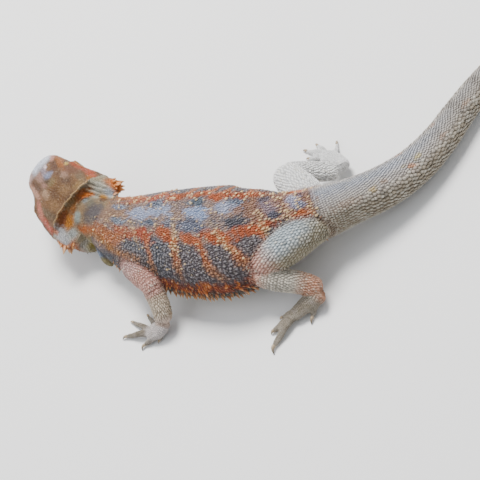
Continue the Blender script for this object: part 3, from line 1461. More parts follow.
def ball_grid(centre: Array, sizes: Sequence[float], count: int = 20, ring: int = 28) -> Array:
    """Rings of a ball stretched along the head's own axes, in the model's frame."""
    polar = np.linspace(0.04, math.pi - 0.04, count)
    turn = full_turn(ring)
    local = np.stack(
        [
            np.cos(polar)[:, None] * np.ones(ring) * sizes[0],
            np.sin(polar)[:, None] * np.cos(turn) * sizes[1],
            np.sin(polar)[:, None] * np.sin(turn) * sizes[2],
        ],
        -1,
    )
    return HEAD.outward((local + centre).reshape(-1, 3)).reshape(local.shape)


def eye_centre(side: int) -> Array:
    """Centre of an eyeball in the head's own axes."""
    place = HEAD.side_point(HEAD.eye[0], side, HEAD.eye[1])
    return place - np.array((0.0, side * HEAD.eye_inset / HEAD.scale, 0.0))


@dataclass(frozen=True)
class SkinFinish:
    """Reptile skin: colours from the attribute tone, with grain, wrinkles and dry sheen.

    Attributes:
        name: Name of the material.
        rough: Lowest and highest roughness.
        grain: Size of the finest bumps, in metres.
        depth: Distance of the bumps, in metres.
        coat: Weight of the clear coat.
    """

    name: str
    rough: tuple[float, float] = (0.5, 0.75)
    grain: float = 0.0006
    depth: float = 0.00018
    coat: float = 0.0

    def material(self) -> bpy.types.Material:
        """Build the material."""
        material = bpy.data.materials.new(self.name)
        material.use_nodes = True
        tree = material.node_tree
        shader = tree.nodes["Principled BSDF"]
        detail = tree.nodes.new("ShaderNodeGroup")
        detail.node_tree = skin_detail()
        detail.inputs["Grain"].default_value = 1.0 / self.grain
        detail.inputs["Low"].default_value = self.rough[0]
        detail.inputs["High"].default_value = self.rough[1]
        tone = tree.nodes.new("ShaderNodeAttribute")
        tone.attribute_name = "tone"
        place = tree.nodes.new("ShaderNodeTexCoord")
        relief = add_node(tree, "Bump", Distance=self.depth, Strength=1.0)
        link = tree.links.new
        link(place.outputs["Object"], detail.inputs["Place"])
        link(tone.outputs["Color"], detail.inputs["Tone"])
        link(detail.outputs["Colour"], shader.inputs["Base Color"])
        link(detail.outputs["Roughness"], shader.inputs["Roughness"])
        link(detail.outputs["Height"], relief.inputs["Height"])
        link(relief.outputs["Normal"], shader.inputs["Normal"])
        shader.inputs["Specular IOR Level"].default_value = 0.35
        shader.inputs["Coat Weight"].default_value = self.coat
        shader.inputs["Coat Roughness"].default_value = 0.4
        return material


def add_node(tree: bpy.types.NodeTree, kind: str, **values: float) -> bpy.types.Node:
    """A new shader node, with values on the inputs named; _ stands for a space."""
    node = tree.nodes.new("ShaderNode" + kind)
    for name, value in values.items():
        node.inputs[name.replace("_", " ")].default_value = value
    return node


def skin_detail() -> bpy.types.NodeTree:
    """The shared node group of skin and scales.

    A Voronoi pattern and noise give the height, noise varies the colour's lightness and
    the roughness, and the cells' edges are darkened a little.
    """
    if "skin_detail" in bpy.data.node_groups:
        return bpy.data.node_groups["skin_detail"]
    group = bpy.data.node_groups.new("skin_detail", "ShaderNodeTree")
    sockets = {
        "INPUT": (
            ("Place", "Vector"),
            ("Tone", "Color"),
            ("Grain", "Float"),
            ("Low", "Float"),
            ("High", "Float"),
        ),
        "OUTPUT": (("Colour", "Color"), ("Roughness", "Float"), ("Height", "Float")),
    }
    for way, pairs in sockets.items():
        for name, kind in pairs:
            group.interface.new_socket(name, in_out=way, socket_type="NodeSocket" + kind)
    link = group.links.new
    given, made = group.nodes.new("NodeGroupInput"), group.nodes.new("NodeGroupOutput")
    cells = add_node(group, "TexVoronoi")
    cells.feature = "DISTANCE_TO_EDGE"
    fine = add_node(group, "TexNoise", Detail=4.0)
    wide = add_node(group, "TexNoise", Scale=160.0, Detail=3.0)
    for node in (cells, fine, wide):
        link(given.outputs["Place"], node.inputs["Vector"])
    for node in (cells, fine):
        link(given.outputs["Grain"], node.inputs["Scale"])
    edge = add_node(group, "MapRange", From_Max=0.16)
    link(cells.outputs["Distance"], edge.inputs["Value"])
    height = add_node(group, "Math")
    height.operation = "MULTIPLY_ADD"
    height.inputs[1].default_value = 0.45
    link(fine.outputs["Fac"], height.inputs[0])
    link(edge.outputs["Result"], height.inputs[2])
    light = add_node(group, "MapRange", From_Min=0.3, From_Max=0.7, To_Min=0.84, To_Max=1.14)
    link(fine.outputs["Fac"], light.inputs["Value"])
    groove = add_node(group, "MapRange", To_Min=0.8)
    link(edge.outputs["Result"], groove.inputs["Value"])
    value = add_node(group, "Math")
    value.operation = "MULTIPLY"
    link(light.outputs["Result"], value.inputs[0])
    link(groove.outputs["Result"], value.inputs[1])
    scaled = add_node(group, "VectorMath")
    scaled.operation = "SCALE"
    link(given.outputs["Tone"], scaled.inputs[0])
    link(value.outputs["Value"], scaled.inputs["Scale"])
    rough = add_node(group, "MapRange", From_Min=0.3, From_Max=0.7)
    link(wide.outputs["Fac"], rough.inputs["Value"])
    link(given.outputs["Low"], rough.inputs["To Min"])
    link(given.outputs["High"], rough.inputs["To Max"])
    link(scaled.outputs["Vector"], made.inputs["Colour"])
    link(rough.outputs["Result"], made.inputs["Roughness"])
    link(height.outputs["Value"], made.inputs["Height"])
    return group


@dataclass
class Skin:
    """One closed skin over the whole body.

    Attributes:
        markings: Colours.
        thing: The skin's object, once it is built.
    """

    markings: Markings
    thing: bpy.types.Object = field(init=False)

    def sources(self) -> list[Array]:
        """Rings of every part, inside its full size by the depth of the scales."""
        made = [BODY.shell(300, 64, COAT), HEAD.shell(80, 72, 0.45)]
        made += [BEARD.shell(40, 48, 0.6), SHOULDER_FOLD.shell(24, 20, 0.3)]
        for side in (1, -1):
            size = HEAD.eye_radius / HEAD.scale
            made.append(ball_grid(eye_centre(side), (size * 1.36, size * 1.12, size * 1.2)))
        for limb in LIMBS:
            for sweep, inset in zip(limb.sweeps(), (0.55, 0.5, 0.35)):
                made.append(sweep.shell(40, 32, inset))
            made += [digit.sweep(limb.base()).shell(30, 18, 0.2) for digit in limb.digits]
        return made

    def fuse(self) -> bpy.types.Mesh:
        """The parts as one closed mesh, fused by cells and smoothed."""
        rough = make_mesh("rough_skin", *joined(self.sources()))
        remesh = rough.modifiers.new("fuse", "REMESH")
        remesh.mode = "VOXEL"
        remesh.voxel_size = VOXEL * MM
        remesh.use_smooth_shade = True
        ease = rough.modifiers.new("ease", "SMOOTH")
        ease.factor, ease.iterations = 0.5, 5
        graph = bpy.context.evaluated_depsgraph_get()
        mesh = bpy.data.meshes.new_from_object(rough.evaluated_get(graph))
        bpy.data.objects.remove(rough, do_unlink=True)
        return mesh

    def build(self) -> bpy.types.Object:
        """Fuse, refine the head, carve its fine forms and colour everything."""
        mesh = self.fuse()
        body = bmesh.new()
        body.from_mesh(mesh)
        middles = np.array([face.calc_center_median()[:] for face in body.faces]) / MM - SHIFT
        local = HEAD.inward(middles)
        close = (HEAD.depth(middles) < 1.6) & (local[:, 2] > -9.0)
        close &= (local[:, 0] > -12.0) & (local[:, 0] < 47.0)
        body.faces.ensure_lookup_table()
        edges = {edge for i in np.flatnonzero(close) for edge in body.faces[i].edges}
        bmesh.ops.subdivide_edges(body, edges=list(edges), cuts=1, use_grid_fill=True, smooth=0.0)
        bmesh.ops.triangulate(body, faces=[f for f in body.faces if len(f.verts) > 4])
        body.to_mesh(mesh)
        body.free()
        points = mesh_points(mesh)
        normals = vertex_rows(mesh, "normal")
        local = HEAD.inward(points)
        inside = smoothstep(2.2, 1.2, HEAD.depth(points))
        points += normals * (HEAD.relief(local) * inside)[:, None]
        points += normals * (0.35 * (rough_noise(points, 3.0, 40) - 0.5))[:, None]
        points[:, 2] = np.maximum(points[:, 2], FLOOR)
        mesh.vertices.foreach_set("co", ((points + SHIFT) * MM).ravel())
        mesh.update()
        mesh.polygons.foreach_set("use_smooth", np.ones(len(mesh.polygons), bool))
        add_colours(mesh, self.markings.paint(Regions(points)) * SKIN_SHADE)
        self.thing = linked("skin", mesh)
        mesh.materials.clear()
        mesh.materials.append(SkinFinish("skin_finish", grain=0.0009, depth=0.0002).material())
        LOG.info("skin: %d faces", len(mesh.polygons))
        return self.thing

    def snap(self, points: Array, offset: float = 0.0) -> Array:
        """The nearest places on the skin, or above it along its normal by an offset."""
        probe = make_mesh("probe", points, [])
        wrap = probe.modifiers.new("wrap", "SHRINKWRAP")
        wrap.target = self.thing
        wrap.wrap_method = "NEAREST_SURFACEPOINT"
        wrap.wrap_mode = "ABOVE_SURFACE" if offset else "ON_SURFACE"
        wrap.offset = offset * MM
        found = probe.evaluated_get(bpy.context.evaluated_depsgraph_get()).to_mesh()
        placed = mesh_points(found)
        bpy.data.objects.remove(probe, do_unlink=True)
        return placed


@dataclass
class Template:
    """One scale's shape.

    Attributes:
        points: Points across, along and up, in half widths, half lengths and heights.
        faces: Triangles that close it.
    """

    points: Array
    faces: Array


def granule() -> Template:
    """A small domed bead with eight faces."""
    points = [(1, 0, 0), (0, 1, 0), (-1, 0, 0), (0, -1, 0), (0, 0.1, 1), (0, 0, -0.7)]
    faces = [(0, 1, 4), (1, 2, 4), (2, 3, 4), (3, 0, 4), (1, 0, 5), (2, 1, 5), (3, 2, 5), (0, 3, 5)]
    return Template(np.array(points, float), np.array(faces))


def keeled() -> Template:
    """A leaf-shaped scale with a raised keel that ends in a point."""
    rim = [(0, -1, 0), (0.85, -0.45, 0), (0.8, 0.35, 0.1)]
    rim += [(0, 1.2, 0.5), (-0.8, 0.35, 0.1), (-0.85, -0.45, 0)]
    keel = [(0, -0.55, 0.5), (0, 0.35, 0.85), (0, 0, -0.7)]
    faces = [(0, 1, 6), (1, 7, 6), (1, 2, 7), (2, 3, 7), (3, 4, 7), (4, 5, 7), (5, 6, 7), (5, 0, 6)]
    faces += [(1, 0, 8), (2, 1, 8), (3, 2, 8), (4, 3, 8), (5, 4, 8), (0, 5, 8)]
    return Template(np.array(rim + keel, float), np.array(faces))


def plate(sides: int = 7) -> Template:
    """A low domed plate with rounded shoulders."""
    turn = full_turn(sides)
    low = np.stack([np.cos(turn), np.sin(turn), np.zeros(sides)], -1)
    high = low * 0.78 + (0.0, 0.0, 0.62)
    points = np.vstack([low, high, (0, 0, 0.85), (0, 0, -0.8)])
    i, j = np.arange(sides), (np.arange(sides) + 1) % sides
    top, foot = np.full(sides, 2 * sides), np.full(sides, 2 * sides + 1)
    faces = np.vstack(
        [
            np.stack([i, j, sides + j], -1),
            np.stack([i, sides + j, sides + i], -1),
            np.stack([sides + i, sides + j, top], -1),
            np.stack([j, i, foot], -1),
        ]
    )
    return Template(points, faces)


def thorn(sides: int = 6, bend: float = 0.18) -> Template:
    """A tall spine that narrows from a wide foot and leans back at its tip."""
    turn = full_turn(sides)
    rings = []
    for height, size in ((0.0, 1.0), (0.22, 0.74), (0.55, 0.45), (0.82, 0.2)):
        ring = np.stack([np.cos(turn) * size, np.sin(turn) * size, np.zeros(sides)], -1)
        rings.append(ring * (1, 1, 0) + (0.0, 0.0, height))
    points = np.vstack(rings + [np.array([(0.0, 0.0, 1.0), (0.0, 0.0, -0.3)])])
    faces = []
    for k in range(3):
        i, j = k * sides + np.arange(sides), k * sides + (np.arange(sides) + 1) % sides
        faces += [np.stack([i, j, j + sides], -1), np.stack([i, j + sides, i + sides], -1)]
    i, j = np.arange(sides), (np.arange(sides) + 1) % sides
    faces.append(np.stack([3 * sides + i, 3 * sides + j, np.full(sides, 4 * sides)], -1))
    faces.append(np.stack([j, i, np.full(sides, 4 * sides + 1)], -1))
    points[:, 1] += bend * points[:, 2] ** 2
    return Template(points, np.vstack(faces))


@dataclass
class Sites:
    """Where scales stand.

    Attributes:
        roots: Their roots on the skin.
        normals: The skin's normals there.
        lie: The directions that the scales point in.
        sizes: Their sizes, in millimetres.
        colours: Their linear colours.
        chart: Their places on the flat layout.
    """

    roots: Array
    normals: Array
    lie: Array
    sizes: Array
    colours: Array | None = None
    chart: Array | None = None

    def keep(self, mask: Array) -> "Sites":
        """Only the sites that a mask picks."""
        fields = (self.roots, self.normals, self.lie, self.sizes, self.colours, self.chart)
        return Sites(*(None if part is None else part[mask] for part in fields))

    def thin(self, gap: float) -> "Sites":
        """Only one site in each cell of a cubic grid."""
        cells = np.floor(self.roots / gap).astype(np.int64)
        _, first = np.unique(cells, axis=0, return_index=True)
        return self.keep(np.sort(first))

    @staticmethod
    def together(parts: Sequence["Sites"]) -> "Sites":
        """Several sets of sites without colours as one."""
        names = ("roots", "normals", "lie", "sizes")
        return Sites(*(np.concatenate([getattr(part, name) for part in parts]) for name in names))


def row_places(
    lengths: Array,
    perimeter: Array,
    pitch: Callable[[Array], Array],
    rng: np.random.Generator,
    loose: float = 0.12,
) -> tuple[Array, Array]:
    """Places in staggered rows over a tube that opens out to a strip.

    Args:
        lengths: Distances along the tube at which its perimeter is known.
        perimeter: Perimeters there.
        pitch: Spacing of the scales at a distance.
        rng: Random numbers.
        loose: Share of the spacing by which a place strays.

    Returns:
        Distances along the tube and angles round it.
    """
    along, angles, at, row = [], [], float(lengths[0]), 0
    while at < lengths[-1]:
        step = float(pitch(np.array([at]))[0])
        around = max(6, int(round(float(np.interp(at, lengths, perimeter)) / step)))
        turn = (np.arange(around) + 0.5 * (row % 2)) * (2 * math.pi / around)
        along.append(at + rng.uniform(-loose, loose, around) * step)
        angles.append(turn + rng.uniform(-loose, loose, around) * 2 * math.pi / around)
        at += step * ROW_STEP
        row += 1
    return np.concatenate(along), np.concatenate(angles)
@dataclass
class Coat:
    """Scales, plates, beads and spines over the skin.

    Attributes:
        skin: The skin that carries them.
        markings: Colours.
        rng: Random numbers.
        roots: Roots of the scales placed so far, one array for each piece.
    """

    skin: Skin
    markings: Markings
    rng: np.random.Generator
    roots: list[Array] = field(default_factory=list)

    def sweep_sites(
        self,
        sweep: Sweep,
        pitch: Callable[[Array], Array],
        span: tuple[float, float] | None = None,
        loose: float = 0.12,
        reach: float = 1.5,
    ) -> Sites:
        """Sites in staggered rows over one sweep, moved on to the skin.

        Args:
            sweep: The sweep.
            pitch: Spacing of the scales at a distance along it.
            span: First and last distance.
            loose: Share of the spacing by which a place strays.
            reach: How far the skin may lie from the sweep.

        Returns:
            The sites.
        """
        total = sweep.lengths()[-1]
        low, high = span or (0.0, total)
        lengths = np.linspace(low, high, 80)
        perimeter = perimeters(sweep.surface(lengths, full_turn(RING_SAMPLES)))
        along, angle = row_places(lengths, perimeter, pitch, self.rng, loose)
        along = np.clip(along, low, high)
        points = self.pairs(sweep, along, angle)
        ahead = self.pairs(sweep, np.minimum(along + 0.5, total), angle)
        lie = unit(ahead - self.pairs(sweep, np.maximum(along - 0.5, 0.0), angle))
        return self.settle(points, lie, pitch(along), reach)

    @staticmethod
    def pairs(sweep: Sweep, along: Array, angle: Array) -> Array:
        """Surface points for distances and angles given in pairs."""
        rows, _, left, up = sweep.frames(along)
        c, s = rounded(np.cos(angle), sweep.power), rounded(np.sin(angle), sweep.power)
        height = np.where(s >= 0, rows[:, 4], rows[:, 5])
        place = rows[:, :3] + left * (c * rows[:, 3])[:, None] + up * (s * height)[:, None]
        below = np.maximum(0.2 - place[:, 2], 0.0) / np.maximum(np.abs(up[:, 2]), 0.3)
        return place + up * below[:, None]

    def settle(self, points: Array, lie: Array, size: Array, reach: float = 1.5) -> Sites:
        """Sites moved on to the skin; those that it has swallowed are dropped.

        Args:
            points: Where the sites should stand.
            lie: The directions that the scales point in.
            size: Their sizes.
            reach: How far a site may be moved.

        Returns:
            The sites that remain, with the skin's normals.
        """
        roots = self.skin.snap(points)
        above = self.skin.snap(points, 1.0)
        far = np.linalg.norm(roots - points, axis=1)
        found = Sites(roots, unit(above - roots), lie, size)
        return found.keep((far < reach) & (roots[:, 2] > LOWEST_ROOT))

    def mark(self, sites: Sites) -> Regions:
        """Give sites their colours and their places on the flat layout."""
        regions = Regions(sites.roots)
        sites.colours = self.markings.paint(regions)
        sites.chart = regions.unwrap()
        return regions

    def head_sites(self, pitch: Callable[[Array], Array], span: tuple[float, float]) -> Sites:
        """Sites in staggered rows over the head."""
        forward = np.linspace(span[0], span[1], 60)
        turn = np.ones((len(forward), 1)) * full_turn(RING_SAMPLES)
        grid = HEAD.surface(forward[:, None] * np.ones(RING_SAMPLES), turn) * HEAD.scale
        perimeter = perimeters(grid)
        along, angle = row_places(forward, perimeter, pitch, self.rng, 0.24)
        return self.stand_on_head(along, angle, pitch(along))

    def add(
        self,
        name: str,
        template: Template,
        sites: Sites,
        shape: Sequence[float],
        finish: SkinFinish,
        slot: Slot,
        tilt: float = 0.0,
        tips: tuple[Sequence[float], float] = ((220, 210, 190), 0.1),
        light: tuple[float, float] = (0.7, 1.05),
    ) -> None:
        """One joined mesh of scales.

        Each copy's points are its root plus across, lie and normal directions times the
        template's numbers and its sizes; tilt lifts its rear edge.

        Args:
            name: Name of the piece.
            template: Shape of one scale.
            sites: Where they stand, with their colours.
            shape: Half width, half length and height as shares of a site's size.
            finish: Finish.
            slot: Material slot.
            tilt: Angle by which the rear is lifted, in degrees.
            tips: Display colour of the highest points and its share there.
            light: Factors on the colour at the scale's foot and at its top.
        """
        count = len(sites.roots)
        if not count:
            return
        self.roots.append(sites.roots)
        lie = unit(sites.lie - sites.normals * (sites.lie * sites.normals).sum(1, keepdims=True))
        across = np.cross(lie, sites.normals)
        lean = math.radians(tilt)
        ahead = lie * math.cos(lean) + sites.normals * math.sin(lean)
        upward = sites.normals * math.cos(lean) - lie * math.sin(lean)
        sizes = sites.sizes[:, None] * np.array(shape)[None]
        shaped = template.points[None] * sizes[:, None, :]
        points = (
            sites.roots[:, None]
            + shaped[..., :1] * across[:, None]
            + shaped[..., 1:2] * ahead[:, None]
            + shaped[..., 2:] * upward[:, None]
        ).reshape(-1, 3)
        points[:, 2] = np.maximum(points[:, 2], 0.0)
        size = len(template.points)
        faces = (template.faces[None] + (np.arange(count) * size)[:, None, None]).reshape(-1, 3)
        height = smoothstep(0.0, template.points[:, 2].max(), template.points[:, 2])
        tones = sites.colours[:, None] * (light[0] + (light[1] - light[0]) * height)[None, :, None]
        tones = tones + (tint(*tips[0]) - tones) * (tips[1] * height**1.5)[None, :, None]
        thing = make_mesh(name, points, faces, np.clip(tones, 0, 1).reshape(-1, 3))
        chart = (sites.chart[:, None] + template.points[None, :, :2] * CHART_SIZE).reshape(-1, 2)
        layer = thing.data.uv_layers.new(name="OFBake")
        layer.data.foreach_set("uv", chart[faces.ravel()].astype(np.float32).ravel())
        thing.data.materials.append(finish.material())
        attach(thing, "root")
        LOG.info("%s: %d scales, %d triangles", name, count, len(faces))

    def vary(self, sites: Sites, amount: float) -> None:
        """Make colours lighter or darker by chance, one factor for each site."""
        factor = 1.0 + self.rng.uniform(-amount, amount, len(sites.colours))
        sites.colours = np.clip(sites.colours * factor[:, None], 0.0, 1.0)

    def speckle(
        self, sites: Sites, pale: float, dark: float, tone: Sequence[float] = (214, 190, 158)
    ) -> None:
        """Make a share of the sites pale and a share dark by chance."""
        chance = self.rng.random(len(sites.colours))
        share = (chance < pale) * self.rng.uniform(0.2, 0.6, len(chance))
        sites.colours = blend(sites.colours, tint(*tone), share)
        sites.colours[chance > 1 - dark] *= 0.6
        self.vary(sites, 0.14)

    def build(self) -> None:
        """All the scales, spines and beads."""
        self.body_scales()
        self.flank_beads()
        self.cream_beads()
        self.tail_scales()
        self.limb_scales()
        self.head_scales()
        self.beard_scales()
        self.fringe_spines()
        self.head_spines()
        self.fold_beads()

    def body_scales(self) -> None:
        """Keeled scales on the back and flanks and flat ones on the belly."""
        finish = SkinFinish("body_scale_finish", (0.38, 0.62), 0.0005, 0.00006)

        def pitch(s: Array) -> Array:
            """Spacing that widens behind the neck."""
            return 1.0 + 0.45 * smoothstep(22.0, 44.0, s)

        sites = self.sweep_sites(BODY, pitch, (0.0, TAIL_START), 0.27, 2.0)
        regions = self.mark(sites)
        rows = np.stack([regions.along / 1.3, regions.lean / 16.0, 0.0 * regions.lean], -1)
        sites.colours = sites.colours * (0.78 + 0.44 * lattice_noise(rows, 1.0, 61))[:, None]
        self.speckle(sites, 0.04, 0.08)
        cool = smoothstep(1.05, 1.35, sites.colours[:, 2] / np.maximum(sites.colours[:, 0], 0.01))
        cool = cool * smoothstep(0.16, 0.3, sites.colours[:, 2]) * self.rng.random(len(cool))
        sites.colours = blend(sites.colours, tint(222, 226, 240), cool * 0.55)
        top = np.abs(regions.lean) < 114.0
        sites.sizes = sites.sizes * self.rng.uniform(0.78, 1.24, len(sites.sizes))
        neck = regions.along < 31.0
        half = np.arange(len(top)) < len(top) // 2
        looks = (
            ("neck_scales", neck, 0.34, (0.76, 1.08)),
            ("back_scales_front", ~neck & half, 0.5, (0.56, 1.2)),
            ("back_scales_rear", ~neck & ~half, 0.5, (0.56, 1.2)),
        )
        for name, mask, rise, light in looks:
            self.add(
                name, keeled(), sites.keep(mask & top), (0.52, 0.6, rise), finish,
                Slot.TRUNK, 13.0, ((226, 224, 226), 0.07), light,
            )
        self.add(
            "belly_scales", plate(6), sites.keep(~top), (0.52, 0.56, 0.18), finish, Slot.TRUNK, 4.0
        )

    def flank_beads(self) -> None:
        """Rows of larger pale scales on the flanks, grey on the dark ovals."""
        finish = SkinFinish("flank_bead_finish", (0.34, 0.56), 0.0006, 0.00006)
        sites = self.sweep_sites(BODY, even(BEAD_SPACING), (50.0, TAIL_START), 0.3)
        regions = self.mark(sites)
        p = np.abs(regions.lean)
        band = smoothstep(29.0, 36.0, p) * smoothstep(76.0, 70.0, p)
        chance = self.rng.random(len(p)) < band * 0.92
        picked = sites.keep(chance & (regions.of("body") > 0.6))
        base = picked.colours
        warm = smoothstep(1.25, 2.1, base[:, 0] / np.maximum(base[:, 2], 0.01))
        goal = tint(158, 154, 158) + (tint(212, 144, 92) - tint(158, 154, 158)) * warm[:, None]
        share = 0.35 + 0.3 * self.rng.random(len(base))
        picked.colours = base + (goal - base) * share[:, None]
        picked.sizes = picked.sizes * self.rng.uniform(0.8, 1.15, len(base))
        self.add(
            "flank_beads", keeled(), picked, (0.42, 0.52, 0.38), finish, Slot.TRUNK, 16.0,
            ((206, 202, 204), 0.1), (0.66, 1.1),
        )

    def cream_beads(self) -> None:
        """Large cream scales along the pale lines, and a few strewn over the back."""
        finish = SkinFinish("cream_bead_finish", (0.32, 0.52), 0.0006, 0.00006)
        sites = self.sweep_sites(BODY, even(BEAD_SPACING), (14.0, TAIL_START), 0.34)
        regions = self.mark(sites)
        s, p = regions.along, np.abs(regions.lean)
        chance = 0.03 + 0.1 * smoothstep(0.55, 0.8, lattice_noise(sites.roots, 5.0, 71))
        for start, slope in CREAM_LINES:
            line = bump(s, start + slope * p, 1.8) * smoothstep(54.0, 42.0, p)
            chance = chance + 0.75 * line * self.markings.line_share(regions.lean)
        chance = chance + 0.16 * bump(p, 27.0, 8.0) + 0.08 * bump(s, 36.0, 10.0)
        chance = chance + 0.16 * smoothstep(140.0, 156.0, s)
        chance *= smoothstep(70.0, 56.0, p) * regions.of("body") * smoothstep(22.0, 32.0, s)
        picked = sites.keep(self.rng.random(len(s)) < chance)
        goal = tint(232, 196, 142)
        share = 0.45 + 0.45 * self.rng.random(len(picked.roots))
        picked.colours = picked.colours + (goal - picked.colours) * share[:, None]
        picked.sizes = picked.sizes * self.rng.uniform(0.8, 1.45, len(picked.roots))
        self.add(
            "cream_beads", keeled(), picked, (0.34, 0.5, 0.5), finish, Slot.TRUNK, 24.0,
            ((244, 224, 186), 0.35), (0.8, 1.1),
        )

    def tail_scales(self) -> None:
        """Keeled scales in rings along the tail."""
        finish = SkinFinish("tail_scale_finish", (0.4, 0.66), 0.0007, 0.00008)
        total = BODY.lengths()[-1]

        def pitch(s: Array) -> Array:
            """Spacing that falls towards the tip."""
            return 1.5 + 0.3 * smoothstep(178.0, 225.0, s) - 0.6 * smoothstep(300.0, 440.0, s)

        def coarse(s: Array) -> Array:
            """Spacing of the lower sides."""
            return pitch(s) * (1.0 + 0.5 * smoothstep(176.0, 200.0, s))

        span = (TAIL_START - 1.2, total - 1.0)
        upper = self.sweep_sites(BODY, pitch, span, 0.09, 2.0)
        lower = self.sweep_sites(BODY, coarse, span, 0.12, 2.0)
        upper = upper.keep(np.abs(Regions(upper.roots).lean - 4.0) < 38.0)
        lower = lower.keep(np.abs(Regions(lower.roots).lean - 4.0) >= 38.0)
        sites = Sites.together([upper, lower])
        regions = self.mark(sites)
        self.speckle(sites, 0.08, 0.04, (214, 208, 194))
        low = smoothstep(30.0, 70.0, np.abs(regions.lean))
        pale = (self.rng.random(len(low)) < 0.5 * low) * 0.4
        sites.colours = blend(sites.colours, tint(208, 202, 186), pale)
        self.add(
            "tail_scales", keeled(), sites, (0.52, 0.6, 0.28), finish, Slot.TAIL, 8.0,
            ((236, 232, 222), 0.22), (0.72, 1.12),
        )

    def limb_scales(self) -> None:
        """Keeled scales on the limbs, small ones on feet and digits."""
        finish = SkinFinish("limb_scale_finish", (0.38, 0.64), 0.0006, 0.00007)
        large, small, pale = [], [], []
        for limb in LIMBS:
            pitches = (2.05, 1.8, 1.25) if "leg" in limb.name else (1.7, 1.6, 1.15)
            for column, (sweep, pitch) in enumerate(zip(limb.sweeps(), pitches)):
                found = self.sweep_sites(sweep, even(pitch), None, 0.17, 2.6)
                group = small if column == 2 else pale if limb.paleness > 0.5 else large
                group.append(found.thin(0.5 * pitch))
            for digit in limb.digits:
                small.append(self.sweep_sites(digit.sweep(limb.base()), even(1.0)))
        looks = (
            ("limb_scales", large, 0.36, 11.0, (0.66, 1.2)),
            ("pale_limb_scales", pale, 0.22, 5.0, (0.94, 1.06)),
        )
        for name, groups, rise, tilt, light in looks:
            sites = Sites.together(groups).thin(1.2)
            self.mark(sites)
            self.speckle(sites, 0.12, 0.04, (222, 214, 196))
            sites.sizes = sites.sizes * self.rng.uniform(0.9, 1.12, len(sites.sizes))
            self.add(
                name, keeled(), sites, (0.5, 0.58, rise), finish, Slot.LIMB, tilt,
                ((238, 234, 224), 0.24), light,
            )
        sites = Sites.together(small).thin(0.5)
        self.mark(sites)
        self.vary(sites, 0.14)
        self.add(
            "foot_scales", keeled(), sites, (0.5, 0.58, 0.3), finish, Slot.LIMB, 8.0,
            ((230, 226, 216), 0.12), (0.74, 1.1),
        )

    @staticmethod
    def clear_of_openings(local: Array) -> Array:
        """Whether points in the head's own axes lie off eyes, mouth, nostrils and ears."""
        side = np.abs(local[:, 1])
        clear = (HEAD.from_eye(local, 1.2) > 3.1) | (side < 9)
        clear &= (np.abs(HEAD.over_mouth(local)) > 0.5) | (local[:, 0] < 3)
        clear &= (HEAD.from_nostril(local) > 1.2) | (side < 4)
        return clear & ((HEAD.from_ear(local) > 1.1) | (side < 12))

    def head_scales(self) -> None:
        """Plates of mixed sizes over the head, clear of eyes, ears, nostrils and mouth."""
        finish = SkinFinish("head_scale_finish", (0.34, 0.58), 0.0005, 0.00006)
        sites = self.head_sites(even(0.95), (-18.0, 45.0))
        sites = sites.keep(self.clear_of_openings(HEAD.inward(sites.roots)))
        self.mark(sites)
        self.speckle(sites, 0.02, 0.05, (200, 176, 146))
        sites.sizes = sites.sizes * self.rng.uniform(0.78, 1.25, len(sites.sizes))
        self.add(
            "head_scales", plate(6), sites, (0.5, 0.5, 0.24), finish, Slot.HEAD, 2.0,
            ((226, 216, 206), 0.05), (0.74, 1.06),
        )

    def beard_scales(self) -> None:
        """Pointed scales over the throat pouch and the fold."""
        finish = SkinFinish("beard_scale_finish", (0.4, 0.66), 0.0006, 0.00007)
        pouch = self.sweep_sites(BEARD, even(1.35), None, 0.3)
        fold = self.sweep_sites(SHOULDER_FOLD, even(1.2))
        sites = Sites.together([pouch, fold])
        self.mark(sites)
        self.vary(sites, 0.16)
        self.add(
            "throat_scales", keeled(), sites, (0.5, 0.58, 0.22), finish, Slot.HEAD, 6.0,
            ((226, 220, 200), 0.06), (0.88, 1.06),
        )

    def fringe_spines(self) -> None:
        """Rows of spines along the belly's edge, and short ones beside the nape."""
        finish = SkinFinish("fringe_finish", (0.32, 0.52), 0.0008, 0.00006)
        rng = self.rng
        rows = (
            (-22.0, 3.2, 2.8),
            (-14.0, 2.9, 3.4),
            (-7.0, 3.1, 3.6),
            (0.0, 2.9, 3.1),
            (6.5, 3.2, 2.3),
            (13.0, 3.6, 1.9),
        )
        found = []
        for lift, pitch, size in rows:
            start = np.arange(*FRINGE_SPAN, pitch)
            at = start + rng.uniform(-0.8, 0.8, len(start))
            for side in (1, -1):
                angle = np.radians(lift + rng.uniform(-3.5, 3.5, len(at)))
                angle = mirrored(angle, side)
                share = np.clip((at - FRINGE_SPAN[0]) / np.ptp(FRINGE_SPAN), 0, 1)
                swell = 0.66 + 0.4 * np.sin(math.pi * share)
                length = size * swell * rng.uniform(0.6, 1.25, len(at))
                found.append(self.stand(BODY, at, angle, length))
        nape_rows = ((26.0, 7, 30.0, 1.7), (34.0, 8, 26.0, 2.0), (44.0, 9, 30.0, 1.8))
        for at, count, lift, size in nape_rows:
            for side in (1, -1):
                turn = np.radians(np.linspace(lift, lift + 46.0, count) + rng.uniform(-2, 2, count))
                turn = mirrored(turn, side)
                place = at + rng.uniform(-1.5, 1.5, count)
                found.append(self.stand(BODY, place, turn, size * rng.uniform(0.7, 1.1, count)))
        sites = Sites.together(found)
        sites = sites.keep(Regions(sites.roots).of("body") > 0.7)
        self.mark(sites)
        sites.colours = blend(sites.colours, tint(204, 108, 52), 0.5)
        self.vary(sites, 0.2)
        self.add(
            "fringe_spines", thorn(), sites, (0.27, 0.34, 1.0), finish, Slot.TRUNK, -26.0,
            ((244, 200, 140), 0.6), (0.7, 1.05),
        )

